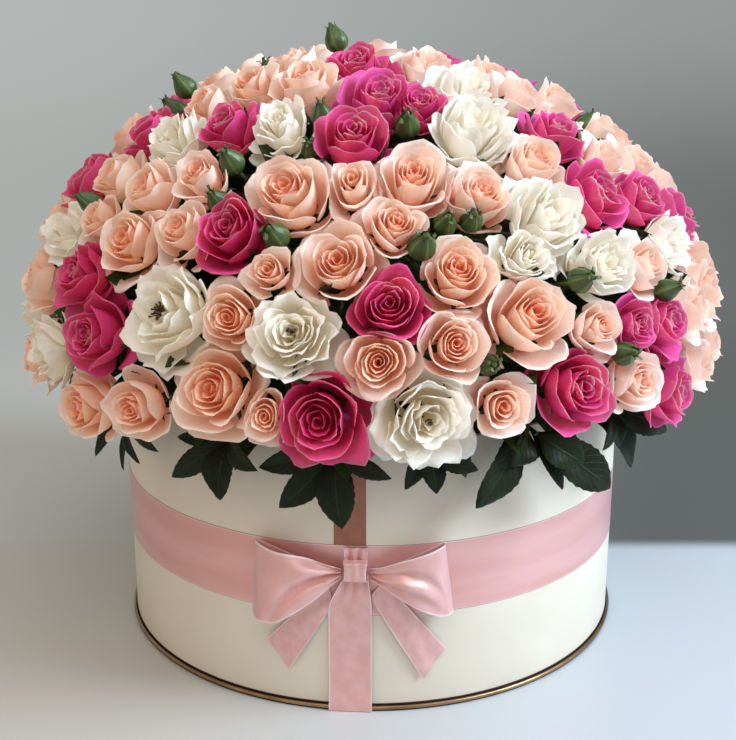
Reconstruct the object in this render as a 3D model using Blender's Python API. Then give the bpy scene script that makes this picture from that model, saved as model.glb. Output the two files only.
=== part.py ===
"""A round hat box that holds a dome of roses.

The box is a cardboard tube with a base disc, a thin metal ring round its foot, and a satin
ribbon with a bow. A plastic liner in it holds a block of wet foam with a domed top. The roses,
their buds and their leaves stand in plain holes in the foam. The origin is the centre of the
underside of the box, the front faces -Y, and +Z is up.
"""

import bpy
import bmesh
import numpy as np
from math import cos, pi, radians, sin

# The box, in metres
BOX_RADIUS = 0.175
BOX_HEIGHT = 0.180
WALL = 0.003
GAP = 0.0003
BOX_STEPS = 36
TRIM_RADIUS = 0.1776
TRIM_HEIGHT = 0.0032

# The liner and the foam
LINER_WALL = 0.0012
LINER_TOP = 0.168
FOAM_SHOULDER = 0.1735
FOAM_STEPS = 22

# The ribbons: satin, drawn thicker than it is so that it stays a solid
RIBBON = 0.0007
BAND_LOW = 0.066
BAND_HIGH = 0.113
STRIP_X = -0.013
RISER_WIDTH = 0.0195
DROP_WIDTH = 0.0262
KNOT_X = -0.0088
KNOT_Z = 0.0990
KNOT_WIDTH = 0.0138
KNOT_HEIGHT = 0.0130
KNOT_BACK = 0.0025
KNOT_FRONT = 0.0100
RISER_TOP = 0.1795
DROP_FOOT = 0.0004
DROP_CLEARS_TRIM = 0.0044
DROP_SETTLES = (0.016, 0.0012)
DROP_MEETS_BAND = 0.062
DROP_TOP = 0.097
STRIP_COLUMNS = 4
TAIL_COLUMNS = 3

# The dome that the blooms lie on: a flattened sphere about its heart, above the rim of the box
HEART = np.array([0.0, 0.0, 0.213])
DOME_RADIUS = 0.2315
DOME_RISE = 0.1755
FOAM_SHARE = 0.60
ROOT_SHARE = 0.47
BASE_SHARE = 0.82
LOWEST_ELEVATION = 12.0
EYE = np.array([0.0, -0.900, 0.446])
UP = np.array([0.0, 0.0, 1.0])

# Radii of the stems, and of the plain holes that they stand in
TRUNK = 0.0021
STEM = 0.0013
TWIG = 0.0009
STEM_HOLE = 0.0028
HOLE_DEEPER = 0.008
HOLE_PAST = 0.06
STEM_CLEAR = 0.0039

# How each head is kept to its own wedge of space among its neighbours
CELL_GAP = 0.0002
CELL_REACH = 0.11
LEAST_SHARE = 0.55
HEAD_SWELL = 1.10
HEAD_LEAN = 0.10
SEED = 11

PEACH, BLUSH, MAGENTA, WHITE, BUD = "peach", "blush", "magenta", "white", "bud"

# The blooms of the front, row by row from the left: azimuth from the front and elevation, both
# in degrees about the heart of the dome, then the width in millimetres and the kind
FRONT_ROWS = (
    ((-74, -3, 44, PEACH), (-62, 1, 42, WHITE), (-49, -5, 42, PEACH), (-36, -2, 40, PEACH),
     (-22, 3, 54, PEACH), (-14.5, 0, 30, PEACH), (-7, 0, 54, MAGENTA), (7.5, 0, 56, WHITE),
     (18, 1, 34, PEACH), (30.5, 2, 50, MAGENTA), (42, 1, 40, BLUSH), (54, -4, 42, MAGENTA),
     (66, -2, 44, PEACH)),
    ((-76, 10, 44, PEACH), (-46, 7, 46, MAGENTA), (-31, 12.5, 56, WHITE), (-20.5, 13, 38, PEACH),
     (-11, 11.5, 52, WHITE), (1, 8, 44, PEACH), (11.5, 10, 42, PEACH), (23.5, 13, 58, PEACH),
     (35, 10, 36, BLUSH), (43, 9, 34, MAGENTA), (51, 8, 40, MAGENTA), (62, 8, 42, PEACH)),
    ((-54, 15, 42, MAGENTA), (-68, 20, 42, WHITE), (-44, 22, 44, PEACH), (-33, 25, 38, PEACH),
     (-24, 26, 48, MAGENTA), (-15.5, 20, 28, PEACH), (-5, 21.5, 52, PEACH),
     (2.5, 15.5, 46, MAGENTA), (13, 20, 50, PEACH), (25, 21.5, 36, WHITE), (39, 18.5, 46, WHITE),
     (49.5, 17, 38, BLUSH), (63, 19, 42, WHITE)),
    ((-57, 24, 30, PEACH), (-62, 31, 40, PEACH), (-47, 31, 40, PEACH), (-36, 35, 38, PEACH),
     (-15.5, 33, 56, PEACH), (-3.5, 35, 34, PEACH), (4, 27.5, 40, PEACH), (8, 36, 50, PEACH),
     (20, 32, 46, PEACH), (31.5, 27.5, 56, WHITE), (36.5, 38, 42, PEACH), (47, 30, 46, MAGENTA),
     (62, 27, 42, MAGENTA)),
    ((-73, 42, 46, MAGENTA), (-53, 41.5, 44, WHITE), (-41, 47, 42, MAGENTA), (-24, 48, 42, WHITE),
     (-4.5, 46, 50, MAGENTA), (27, 47, 56, WHITE), (53, 44, 42, MAGENTA), (61, 36, 36, PEACH),
     (78, 32, 40, PEACH)),
    ((-63, 52, 40, PEACH), (-58, 61, 42, PEACH), (-32, 65, 52, PEACH), (3, 58.5, 50, MAGENTA),
     (16, 56, 36, MAGENTA), (40, 60, 50, WHITE), (66, 56, 42, BLUSH), (-20, 80, 46, MAGENTA),
     (70, 76, 44, BLUSH)),
)

# The buds of the front: azimuth, elevation, width in millimetres, and how far each stands out
FRONT_BUDS = (
    (-31, 38.5, 19, -0.02), (-29, 30.5, 18, -0.03), (-16, 25.5, 20, -0.03), (-62, 25.5, 18, 0.0),
    (8, 24, 21, -0.02), (13, 28, 17, -0.04), (18, 28.3, 17, -0.04), (17, 6.5, 16, -0.04),
    (33, 17, 19, 0.0), (52, 12.5, 18, 0.0), (39, 5.5, 18, 0.0), (10, 50, 20, -0.03),
    (-15, 53, 18, -0.03), (-15, 44, 15, -0.05), (-80, 52, 19, 0.09), (-95, 83, 20, 0.10),
)

# What the rest of the dome is filled with, by seeded draws: widths in millimetres, how close the
# heads come to each other, how low they go, how far they reach into view, and the kinds
FILL_WIDTHS = (46, 48, 50, 52)
FILL_CROWDING = 0.92
FILL_SPOTS = 5000
FILL_LOW = -4.5
FILL_EXPOSURE = 0.10
FILL_SHARES = ((PEACH, 0.50), (MAGENTA, 0.25), (WHITE, 0.20), (BLUSH, 0.05))
FILL_BUD_WIDTH = 20
FILL_BUDS = 12
BUD_LIFT = (-0.05, -0.01)
GOLDEN_TURN = 137.50776

# How many stems of each colour are forked into sprays, and how far a side stem reaches
SPRAY_COUNTS = {PEACH: 14, MAGENTA: 11, WHITE: 11}
SPRAY_CHOICES = 5
PLAN_TRIES = 12
FORK_SHARES = tuple(0.800 - 0.013 * k for k in range(13))
FORK_CLEAR = 0.0020
FOAM_CLEAR = 0.018

# The leaf sprays. Root and fork are the radius and height where each stem ends, and the hole is
# the stretch of it that the foam is bored along. Each spray is the azimuth of its stem, then each
# leaf as azimuth and height of its tip, its width, and how far out its tip hangs
LEAF_ROOT = (0.118, 0.1935)
LEAF_FORK = (0.197, 0.1835)
LEAF_HOLE = (-0.001, 0.045)
LEAF_SPRAYS = (
    (-50, ((-63, 0.160, 0.015, 0.222), (-55, 0.152, 0.016, 0.220), (-49, 0.147, 0.010, 0.208),
           (-43, 0.158, 0.013, 0.206), (-37, 0.172, 0.015, 0.206))),
    (-25, ((-37, 0.176, 0.012, 0.203), (-36.5, 0.153, 0.018, 0.206), (-25.5, 0.148, 0.024, 0.206),
           (-18, 0.172, 0.016, 0.206))),
    (-6, ((-19.5, 0.168, 0.019, 0.204), (-15.5, 0.146, 0.022, 0.204), (-4.8, 0.137, 0.026, 0.203),
          (3, 0.170, 0.014, 0.204))),
    (10, ((5.6, 0.160, 0.014, 0.206), (10.5, 0.158, 0.017, 0.206), (17, 0.172, 0.014, 0.206))),
    (30, ((18.5, 0.142, 0.028, 0.205), (35, 0.146, 0.012, 0.204), (42.5, 0.144, 0.030, 0.208))),
    (49, ((55, 0.142, 0.026, 0.214), (64, 0.158, 0.020, 0.216), (43, 0.166, 0.016, 0.204))),
)
BACK_LEAF_AZIMUTHS = (92, 136, 180, 224, 268)
BACK_LEAVES = ((-16, 0.156, 0.022, 0.210), (-3, 0.142, 0.028, 0.207), (14, 0.152, 0.024, 0.210))
LEAF_THICKNESS = 0.0014
LEAF_BOW = 0.006
LEAF_FOLD = 0.14
LEAF_LAYER = 0.0042

COLOURS = {
    PEACH: ((0.86, 0.42, 0.26), 0.55), MAGENTA: ((0.60, 0.03, 0.18), 0.5),
    WHITE: ((0.88, 0.82, 0.68), 0.55), "leaf": ((0.03, 0.08, 0.03), 0.45),
    "cream_card": ((0.82, 0.77, 0.68), 0.5), "grey_board": ((0.45, 0.42, 0.38), 0.9),
    "satin": ((0.67, 0.30, 0.31), 0.35), "taupe_satin": ((0.26, 0.13, 0.10), 0.35),
    "gold": ((0.60, 0.38, 0.20), 0.3), "liner_plastic": ((0.75, 0.75, 0.75), 0.3),
    "foam": ((0.05, 0.20, 0.07), 0.95),
}


def clear_scene():
    for obj in list(bpy.data.objects):
        bpy.data.objects.remove(obj)


def painted(name, finish):
    """Gives a piece its own plain material."""
    colour, roughness = COLOURS[finish]
    material = bpy.data.materials.new(name + "_finish")
    material.use_nodes = True
    shader = material.node_tree.nodes["Principled BSDF"]
    shader.inputs["Base Color"].default_value = (*colour, 1.0)
    shader.inputs["Roughness"].default_value = roughness
    shader.inputs["Metallic"].default_value = 1.0 if finish == "gold" else 0.0
    return material


def placed(name, mesh, finish):
    obj = bpy.data.objects.new(name, mesh)
    bpy.context.scene.collection.objects.link(obj)
    obj.data.materials.append(painted(name, finish))
    return obj


def from_points(name, points, faces, finish):
    mesh = bpy.data.meshes.new(name)
    mesh.from_pydata([tuple(p) for p in points], [], faces)
    return placed(name, mesh, finish)


def facing_out(obj):
    """Turns a closed piece's faces to point outwards."""
    bm = bmesh.new()
    bm.from_mesh(obj.data)
    bmesh.ops.recalc_face_normals(bm, faces=bm.faces)
    bm.to_mesh(obj.data)
    bm.free()
    return obj


def turned(name, profile, steps, finish):
    """Spins a closed outline of radius and height about the upright axis."""
    bm = bmesh.new()
    corners = [bm.verts.new((r, 0.0, z)) for r, z in profile]
    edges = [bm.edges.new((a, b)) for a, b in zip(corners, corners[1:] + corners[:1])]
    bmesh.ops.spin(bm, geom=corners + edges, cent=(0, 0, 0), axis=(0, 0, 1), angle=2 * pi,
                   steps=steps, use_merge=True)
    bmesh.ops.remove_doubles(bm, verts=bm.verts, dist=0.00001)
    bmesh.ops.recalc_face_normals(bm, faces=bm.faces)
    mesh = bpy.data.meshes.new(name)
    bm.to_mesh(mesh)
    bm.free()
    obj = placed(name, mesh, finish)
    mesh.shade_smooth()
    mesh.set_sharp_from_angle(angle=radians(30))
    return obj


def turned_solid(name, outline, steps, finish):
    """Spins an open outline that starts and ends on the axis, and closes it there."""
    rings = []
    for r, z in outline:
        turns = [2 * pi * k / steps for k in range(steps)]
        rings.append([(0, 0, z)] if r == 0 else [(r * sin(t), -r * cos(t), z) for t in turns])
    points, faces = skinned(rings)
    obj = from_points(name, points, faces, finish)
    obj.data.shade_smooth()
    obj.data.set_sharp_from_angle(angle=radians(30))
    return obj


def skinned(rings):
    """Skins rings of points that run from the low end to the high end, turning anticlockwise
    seen from above; an end ring of one point closes to a tip, and a wider one with a flat face."""
    points = [p for ring in rings for p in ring]
    starts = np.cumsum([0] + [len(ring) for ring in rings])
    faces = []
    for low, high, a, b in zip(rings, rings[1:], starts, starts[1:]):
        m, n = len(low), len(high)
        i = j = 0
        while i < m * (m > 1) or j < n * (n > 1):
            if n == 1 or (m > 1 and (i + 1) * n <= (j + 1) * m):
                faces.append((a + i, a + (i + 1) % m, b + j % n))
                i += 1
            else:
                faces.append((a + i % m, b + (j + 1) % n, b + j))
                j += 1
    if len(rings[0]) > 1:
        faces.append(tuple(int(starts[0]) + k for k in reversed(range(len(rings[0])))))
    if len(rings[-1]) > 1:
        faces.append(tuple(int(starts[-2]) + k for k in range(len(rings[-1]))))
    return points, [tuple(int(i) for i in face) for face in faces]


def joined(name, pieces):
    """Joins a node's repeats into one body and removes what went into it."""
    first, rest = pieces[0], pieces[1:]
    first.name = name
    first.data.name = name
    if not rest:
        return first
    group = bpy.data.collections.new(name + "_parts")
    bpy.context.scene.collection.children.link(group)
    for piece in rest:
        bpy.context.scene.collection.objects.unlink(piece)
        group.objects.link(piece)
    join = first.modifiers.new("join", "BOOLEAN")
    join.operation = "UNION"
    join.operand_type = "COLLECTION"
    join.collection = group
    join.solver = "MANIFOLD"
    bpy.context.view_layer.objects.active = first
    bpy.ops.object.modifier_apply(modifier=join.name)
    for piece in rest:
        bpy.data.objects.remove(piece)
    bpy.data.collections.remove(group)
    return first


# The geometry of the dome


def heading(azimuth, elevation):
    """The direction from the heart at an azimuth and an elevation in degrees."""
    a, e = radians(azimuth), radians(elevation)
    return np.array([sin(a) * cos(e), -cos(a) * cos(e), sin(e)])


def dome_reach(direction):
    flat = np.hypot(direction[0], direction[1])
    return 1.0 / np.hypot(flat / DOME_RADIUS, direction[2] / DOME_RISE)


def unit(vector):
    return vector / np.linalg.norm(vector)


class Bloom:
    """One head on the dome: where it lies, how wide it is, and its own random turn."""

    def __init__(self, azimuth, elevation, width, kind, lift, rng):
        self.azimuth, self.elevation = azimuth, elevation
        self.kind = kind
        self.colour = PEACH if kind == BLUSH else kind
        self.radius = width / 2000
        self.lift = lift
        self.out = heading(azimuth, elevation)
        self.reach = dome_reach(self.out)
        self.surface = HEART + self.out * self.reach
        squash = np.array([DOME_RADIUS ** -2, DOME_RADIUS ** -2, DOME_RISE ** -2])
        self.normal = unit((self.surface - HEART) * squash)
        self.spread = self.radius / self.reach
        self.axis = unit(self.normal + rng.uniform(-1, 1, 3) * HEAD_LEAN)
        level = unit(np.cross(self.axis, (0.31, 0.12, 0.94)))
        turn = rng.uniform(0, 2 * pi)
        self.side = level * cos(turn) + np.cross(self.axis, level) * sin(turn)

    def at(self, share):
        """The point on the bloom's own axis at a share of the way out from the heart."""
        return HEART + self.out * self.reach * share


def dome_spots():
    """Evenly turned places over the whole dome, as azimuth and elevation."""
    low = sin(radians(FILL_LOW))
    return [(GOLDEN_TURN * k % 360.0, np.degrees(np.arcsin(1 - (k + 0.5) / FILL_SPOTS * (1 - low))))
            for k in range(FILL_SPOTS)]


def exposure(bloom):
    """How squarely a place on the dome faces the front; below zero it is out of sight."""
    return float(np.dot(bloom.normal, unit(EYE - bloom.surface)))


def fill_dome(heads, spots, widths, kinds, most, rng):
    """Adds one head after another where it lies snug against its three nearest neighbours."""
    added = []
    open_spots = [Bloom(az, el, 0, PEACH, 0.0, rng) for az, el in spots]
    open_spots = [spot for spot in open_spots if exposure(spot) < FILL_EXPOSURE]
    places = np.array([spot.surface for spot in open_spots])
    room = np.array([np.linalg.norm(places - head.surface, axis=1) - head.radius * FILL_CROWDING
                     for head in heads])
    while len(added) < most:
        width = rng.choice(widths)
        nearest = np.sort(room, axis=0)[:3] - width / 2000 * FILL_CROWDING
        if not (nearest[0] > 0).any():
            break
        pick = int(np.argmin(np.where(nearest[0] > 0, nearest.sum(axis=0), np.inf)))
        spot = open_spots[pick]
        kind = rng.choice([k for k, _ in kinds], p=[share for _, share in kinds])
        lift = rng.uniform(*BUD_LIFT) if kind == BUD else 0.0
        new = Bloom(spot.azimuth, spot.elevation, width, str(kind), lift, rng)
        added.append(new)
        gap = np.linalg.norm(places - new.surface, axis=1) - new.radius * FILL_CROWDING
        room = np.vstack([room, gap])
    return added


def filled_dome():
    """The hand-placed front, then the rest of the dome filled by seeded draws."""
    rng = np.random.default_rng(SEED)
    blooms = [Bloom(az, el, width, kind, 0.0, rng)
              for row in FRONT_ROWS for az, el, width, kind in row]
    buds = [Bloom(az, el, width, BUD, lift, rng) for az, el, width, lift in FRONT_BUDS]
    spots = dome_spots()
    blooms += fill_dome(blooms + buds, spots, FILL_WIDTHS, FILL_SHARES, len(spots), rng)
    buds += fill_dome(blooms + buds, spots, (FILL_BUD_WIDTH,), ((BUD, 1.0),), FILL_BUDS, rng)
    return blooms, buds


def parting_angle(head, other):
    """How far round from a head the plane between it and a neighbour lies: where their rims
    cross, but never so near that either loses its middle."""
    between = np.arccos(np.clip(head.out @ other.out, -1, 1))
    turn = np.arctan2(cos(other.spread) / cos(head.spread) - cos(between), sin(between))
    least, most = LEAST_SHARE * head.spread, between - LEAST_SHARE * other.spread
    if least > most:
        return between * head.spread / (head.spread + other.spread)
    return float(np.clip(turn, least, most))


def cell_walls(heads):
    """Each head's own wedge of space out from the heart: planes through the heart that part it
    from each near neighbour, and one below it that keeps the lowest heads off the leaves."""
    walls = []
    for head in heads:
        planes = []
        for other in heads:
            if other is head or np.linalg.norm(other.surface - head.surface) > CELL_REACH:
                continue
            turn = parting_angle(head, other)
            towards = unit(other.out - head.out * (head.out @ other.out))
            planes.append(head.out * sin(turn) - towards * cos(turn))
        flat = unit(np.array([head.out[0], head.out[1], 0.0]))
        low = radians(LOWEST_ELEVATION)
        planes.append(flat * sin(low) + np.array([0, 0, cos(low)]))
        walls.append(np.array(planes))
    return walls


# The heads. Each layer is a ring: share of the radius, height as a share of the radius, how far
# its petals scallop it, and its turn in petals

ROSE_LAYERS = ((0.58, -0.46, 0.04, 0.0), (1.00, 0.00, 0.07, 0.0), (0.84, -0.08, 0.05, 0.0),
               (0.74, 0.17, 0.07, 0.5), (0.58, 0.02, 0.05, 0.5), (0.42, 0.25, 0.06, 0.0))
SMALL_LAYERS = ((0.62, -0.50, 0.04, 0.0), (1.00, 0.02, 0.07, 0.0), (0.80, -0.04, 0.05, 0.0),
                (0.56, 0.26, 0.07, 0.5))
WHITE_LAYERS = ((0.60, -0.40, 0.06, 0.0), (1.00, 0.02, 0.11, 0.0), (0.80, -0.06, 0.08, 0.0),
                (0.66, 0.16, 0.12, 0.5), (0.42, 0.02, 0.06, 0.5))
ROSE_HEART, SMALL_HEART, WHITE_HEART = 0.10, 0.08, 0.12
BUD_LAYERS = ((0.92, -0.45, 0.10, 0.0), (1.00, 0.25, 0.08, 0.5), (0.52, 1.15, 0.05, 0.0))
BUD_TIP = 1.9
LARGE = 0.0265
SMALL = 0.0175


def head_shape(bloom):
    """The layers, the height of the heart and the number of petals to a layer of one head."""
    if bloom.kind == BUD:
        return BUD_LAYERS, BUD_TIP, 2.5
    if bloom.kind == WHITE:
        return WHITE_LAYERS, WHITE_HEART, 4
    if bloom.radius > LARGE:
        return ROSE_LAYERS, ROSE_HEART, 4
    return SMALL_LAYERS, SMALL_HEART, 3.5 if bloom.radius > SMALL else 3


def head_rings(bloom, walls, foot, foot_radius):
    """The rings of one head, drawn in where a neighbour's wedge begins, and its stem from foot."""
    layers, heart, petals = head_shape(bloom)
    axis, side = bloom.axis, bloom.side
    up = np.cross(axis, side)
    middle = bloom.surface + bloom.out * bloom.reach * bloom.lift
    count = int(2 * petals)
    centres, shapes = [], []
    for share, height, scallop, turn in layers:
        along = axis if height > -0.2 else unit(axis + bloom.out)
        centres.append(middle + along * height * bloom.radius)
        shapes.append((share, scallop, turn))
    spokes = []
    for k in range(count):
        angle = 2 * pi * k / count
        spoke = side * cos(angle) + up * sin(angle)
        radii = [HEAD_SWELL * bloom.radius * share
                 * (1 + scallop * cos(petals * angle + 2 * pi * turn))
                 for share, scallop, turn in shapes]
        fit = 1.0
        for centre, radius in zip(centres, radii):
            closing = -(walls @ spoke)
            room = walls @ (centre - HEART) - CELL_GAP
            meets = closing > 1e-6
            if meets.any():
                fit = min(fit, float((room[meets] / closing[meets]).min()) / radius)
        spokes.append((spoke, [radius * fit for radius in radii]))
    base = bloom.at(BASE_SHARE)
    run = unit(base - foot)
    rings = [stem_ring(foot, run, side, foot_radius),
             stem_ring(base, unit(run + bloom.out), side, max(STEM, foot_radius))]
    for level, centre in enumerate(centres):
        dip = 0.5 * layers[level][2]
        rings.append([centre + spoke * radii[level]
                      + axis * bloom.radius * dip * cos(petals * 2 * pi * k / count
                                                        + 2 * pi * layers[level][3])
                      for k, (spoke, radii) in enumerate(spokes)])
    rings.append([middle + axis * heart * bloom.radius])
    return rings


def stem_ring(centre, along, side, radius):
    """Three corners of a stem, square to its run, the first of them towards side."""
    first = unit(side - along * (side @ along))
    second = np.cross(along, first)
    turns = [2 * pi * k / 3 for k in range(3)]
    return [centre + radius * (first * cos(t) + second * sin(t)) for t in turns]


def head_solid(bloom, walls, foot, foot_radius, finish):
    """A head with its stem, down to its root in the foam or its fork on another stem."""
    points, faces = skinned(head_rings(bloom, walls, foot, foot_radius))
    return from_points("head", points, faces, finish)


def stem_solid(start, end, radius, side, finish):
    """A straight piece of stem, three-sided, with a corner towards side."""
    along = unit(end - start)
    points, faces = skinned([stem_ring(spot, along, side, radius) for spot in (start, end)])
    return from_points("stem", points, faces, finish)


# The sprays


def leaders_of(blooms, count):
    """Picks one bloom after another, each the furthest from those picked, then moves each pick
    to the middle of the blooms that are nearest to it."""
    picks = [blooms[0]]
    while len(picks) < min(count, len(blooms)):
        picks.append(max(blooms, key=lambda b: min(np.linalg.norm(b.surface - p.surface)
                                                   for p in picks)))
    for _ in range(3):
        flocks = {id(p): [] for p in picks}
        for bloom in blooms:
            near = min(picks, key=lambda p: np.linalg.norm(bloom.surface - p.surface))
            flocks[id(near)].append(bloom)
        picks = [min(flock, key=lambda b: np.linalg.norm(
            b.surface - np.mean([f.surface for f in flock], axis=0))) for flock in flocks.values()]
    return picks


def stretch_gap(a, b, c, d):
    """The least distance between the stretches a-b and c-d."""
    u, v, w = b - a, d - c, a - c
    uu, uv, vv, uw, vw = u @ u, u @ v, v @ v, u @ w, v @ w
    under = uu * vv - uv * uv
    s = np.clip((uv * vw - vv * uw) / under, 0, 1) if under > 1e-12 else 0.0
    t = np.clip((uv * s + vw) / vv, 0, 1)
    s = np.clip((uv * t - uw) / uu, 0, 1)
    return float(np.linalg.norm(w + u * s - v * t))


def spray_plan(blooms, buds):
    """Sorts the heads into sprays: for each spray its leader and its side stems, each with the
    point on the leader's stem where it forks off. No stem comes near another spray's, so a head
    that finds no way goes first in the next try."""
    leaders = []
    for colour, count in SPRAY_COUNTS.items():
        leaders += leaders_of([b for b in blooms if b.colour == colour], count)
    picked = {id(leader) for leader in leaders}
    sides = [b for b in blooms + buds if id(b) not in picked]
    sides.sort(key=lambda b: min(np.linalg.norm(b.surface - p.surface) for p in leaders
                                 if b.kind == BUD or p.colour == b.colour))
    tips = [(b, b.at(BASE_SHARE), b.at(BASE_SHARE + 0.05)) for b in blooms + buds]
    for _ in range(PLAN_TRIES):
        taken = [(leader, leader.at(ROOT_SHARE), leader.at(BASE_SHARE)) for leader in leaders]
        plan = {id(leader): (leader, []) for leader in leaders}
        stuck = []
        for bloom in sides:
            near = [p for p in leaders if bloom.kind == BUD or p.colour == bloom.colour]
            near.sort(key=lambda p: np.linalg.norm(p.surface - bloom.surface))
            fork = first_clear_fork(bloom, near[:SPRAY_CHOICES], taken, tips, plan)
            if fork is None:
                stuck.append(bloom)
                continue
            leader, point = fork
            plan[id(leader)][1].append((bloom, point))
            taken.append((leader, point, bloom.at(BASE_SHARE)))
        if not stuck:
            break
        sides = stuck + [b for b in sides if not any(b is s for s in stuck)]
    return list(plan.values())


def first_clear_fork(bloom, near, taken, tips, plan):
    start = bloom.at(BASE_SHARE)
    for leader in near:
        forks = [fork for _, fork in plan[id(leader)][1]]
        for share in FORK_SHARES:
            point = leader.at(share)
            clear = clear_of_foam(start, point)
            clear = clear and all(np.linalg.norm(point - fork) > FORK_CLEAR for fork in forks)
            clear = clear and all(stretch_gap(start, point, a, b) > STEM_CLEAR
                                  for owner, a, b in taken if owner is not leader)
            clear = clear and all(stretch_gap(start, point, a, b) > STEM_CLEAR
                                  for owner, a, b in tips
                                  if owner is not leader and owner is not bloom)
            if clear:
                return leader, point
    return None


def clear_of_foam(start, end):
    shape = np.array([DOME_RADIUS, DOME_RADIUS, DOME_RISE])
    return all(np.linalg.norm((start + (end - start) * t - HEART) / shape) > FOAM_SHARE + FOAM_CLEAR
               for t in np.linspace(0, 1, 7))


def make_sprays(blooms, buds):
    """Builds every spray as one node of its colour, and gives back the sprays' leaders."""
    heads = blooms + buds
    walls = {id(head): wall for head, wall in zip(heads, cell_walls(heads))}
    plan = spray_plan(blooms, buds)
    numbers = {PEACH: 0, MAGENTA: 0, WHITE: 0}
    names = {PEACH: "peach_roses", MAGENTA: "magenta_roses", WHITE: "white_roses"}
    for leader, sides in plan:
        finish = leader.colour
        numbers[finish] += 1
        pieces = [head_solid(leader, walls[id(leader)], leader.at(ROOT_SHARE), TRUNK, finish)]
        for bloom, point in sides:
            pieces.append(head_solid(bloom, walls[id(bloom)], point, TWIG, finish))
        joined(f"{names[finish]}_{numbers[finish]:02d}", pieces)
    return [leader for leader, _ in plan]


# The leaves


# Down a leaf: share of its length, and share of its width there; the steps are its teeth
LEAF_OUTLINE = ((0.16, 0.10), (0.40, 1.00), (0.47, 0.80), (0.68, 0.76))


def leaf_solid(fork, tip, width):
    """One leaf with toothed edges, folded along its rib, from the fork of its spray to its tip."""
    along = unit(tip - fork)
    outward = unit(np.array([fork[0] + tip[0], fork[1] + tip[1], 0.0]))
    side = unit(np.cross(outward, along))
    face = np.cross(along, side)
    start = fork
    rings = []
    for t, share in ((0.0, 0.0),) + LEAF_OUTLINE:
        middle = start + (tip - start) * t + face * LEAF_BOW * 4 * t * (1 - t)
        half = max(width / 2 * share, LEAF_THICKNESS * (0.55 + t))
        lift = face * LEAF_FOLD * half
        rings.append([middle + side * half + lift, middle + face * LEAF_THICKNESS / 2,
                      middle - side * half + lift, middle - face * LEAF_THICKNESS / 2])
    points, faces = skinned(rings + [[tip]])
    return from_points("leaf", points, faces, "leaf")


def on_cylinder(azimuth, radius, height):
    a = radians(azimuth)
    return np.array([radius * sin(a), -radius * cos(a), height])


def leaf_stem(azimuth):
    """Where a leaf spray's stem runs: from the foam, over the rim of the box, to its fork."""
    return on_cylinder(azimuth, *LEAF_ROOT), on_cylinder(azimuth, *LEAF_FORK)


def leaf_sprays():
    sprays = list(LEAF_SPRAYS)
    rng = np.random.default_rng(SEED + 1)
    for azimuth in BACK_LEAF_AZIMUTHS:
        leaves = tuple((azimuth + da + rng.uniform(-1.5, 1.5), height + rng.uniform(-0.006, 0.006),
                        width, reach) for da, height, width, reach in BACK_LEAVES)
        sprays.append((azimuth, leaves))
    for number, (azimuth, leaves) in enumerate(sprays, 1):
        root, end = leaf_stem(azimuth)
        pieces = [stem_solid(root, end, TRUNK, UP, "leaf")]
        for step, (tip_azimuth, height, width, reach) in enumerate(leaves):
            layer = LEAF_LAYER * (step - (len(leaves) - 1) / 2)
            fork = root + (end - root) * (1 - TRUNK / np.linalg.norm(end - root))
            fork = fork - unit(end - root) * LEAF_LAYER * (len(leaves) - 1 - step)
            tip = on_cylinder(tip_azimuth, reach + layer, height)
            pieces.append(leaf_solid(fork, tip, width))
        joined(f"leaf_spray_{number:02d}", pieces)
    return [azimuth for azimuth, _ in sprays]


# The box, the liner and the foam


def make_box():
    inner = BOX_RADIUS - WALL
    turned("box_wall", ((inner, 0), (BOX_RADIUS, 0), (BOX_RADIUS, BOX_HEIGHT),
                        (inner, BOX_HEIGHT)), BOX_STEPS, "cream_card")
    turned_solid("box_floor", ((0, 0), (inner - GAP, 0), (inner - GAP, WALL), (0, WALL)),
                 BOX_STEPS, "grey_board")
    foot = BOX_RADIUS + GAP
    turned("base_trim", ((foot, 0.0), (TRIM_RADIUS, 0.0), (TRIM_RADIUS, TRIM_HEIGHT),
                         (foot, TRIM_HEIGHT)), BOX_STEPS, "gold")


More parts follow.
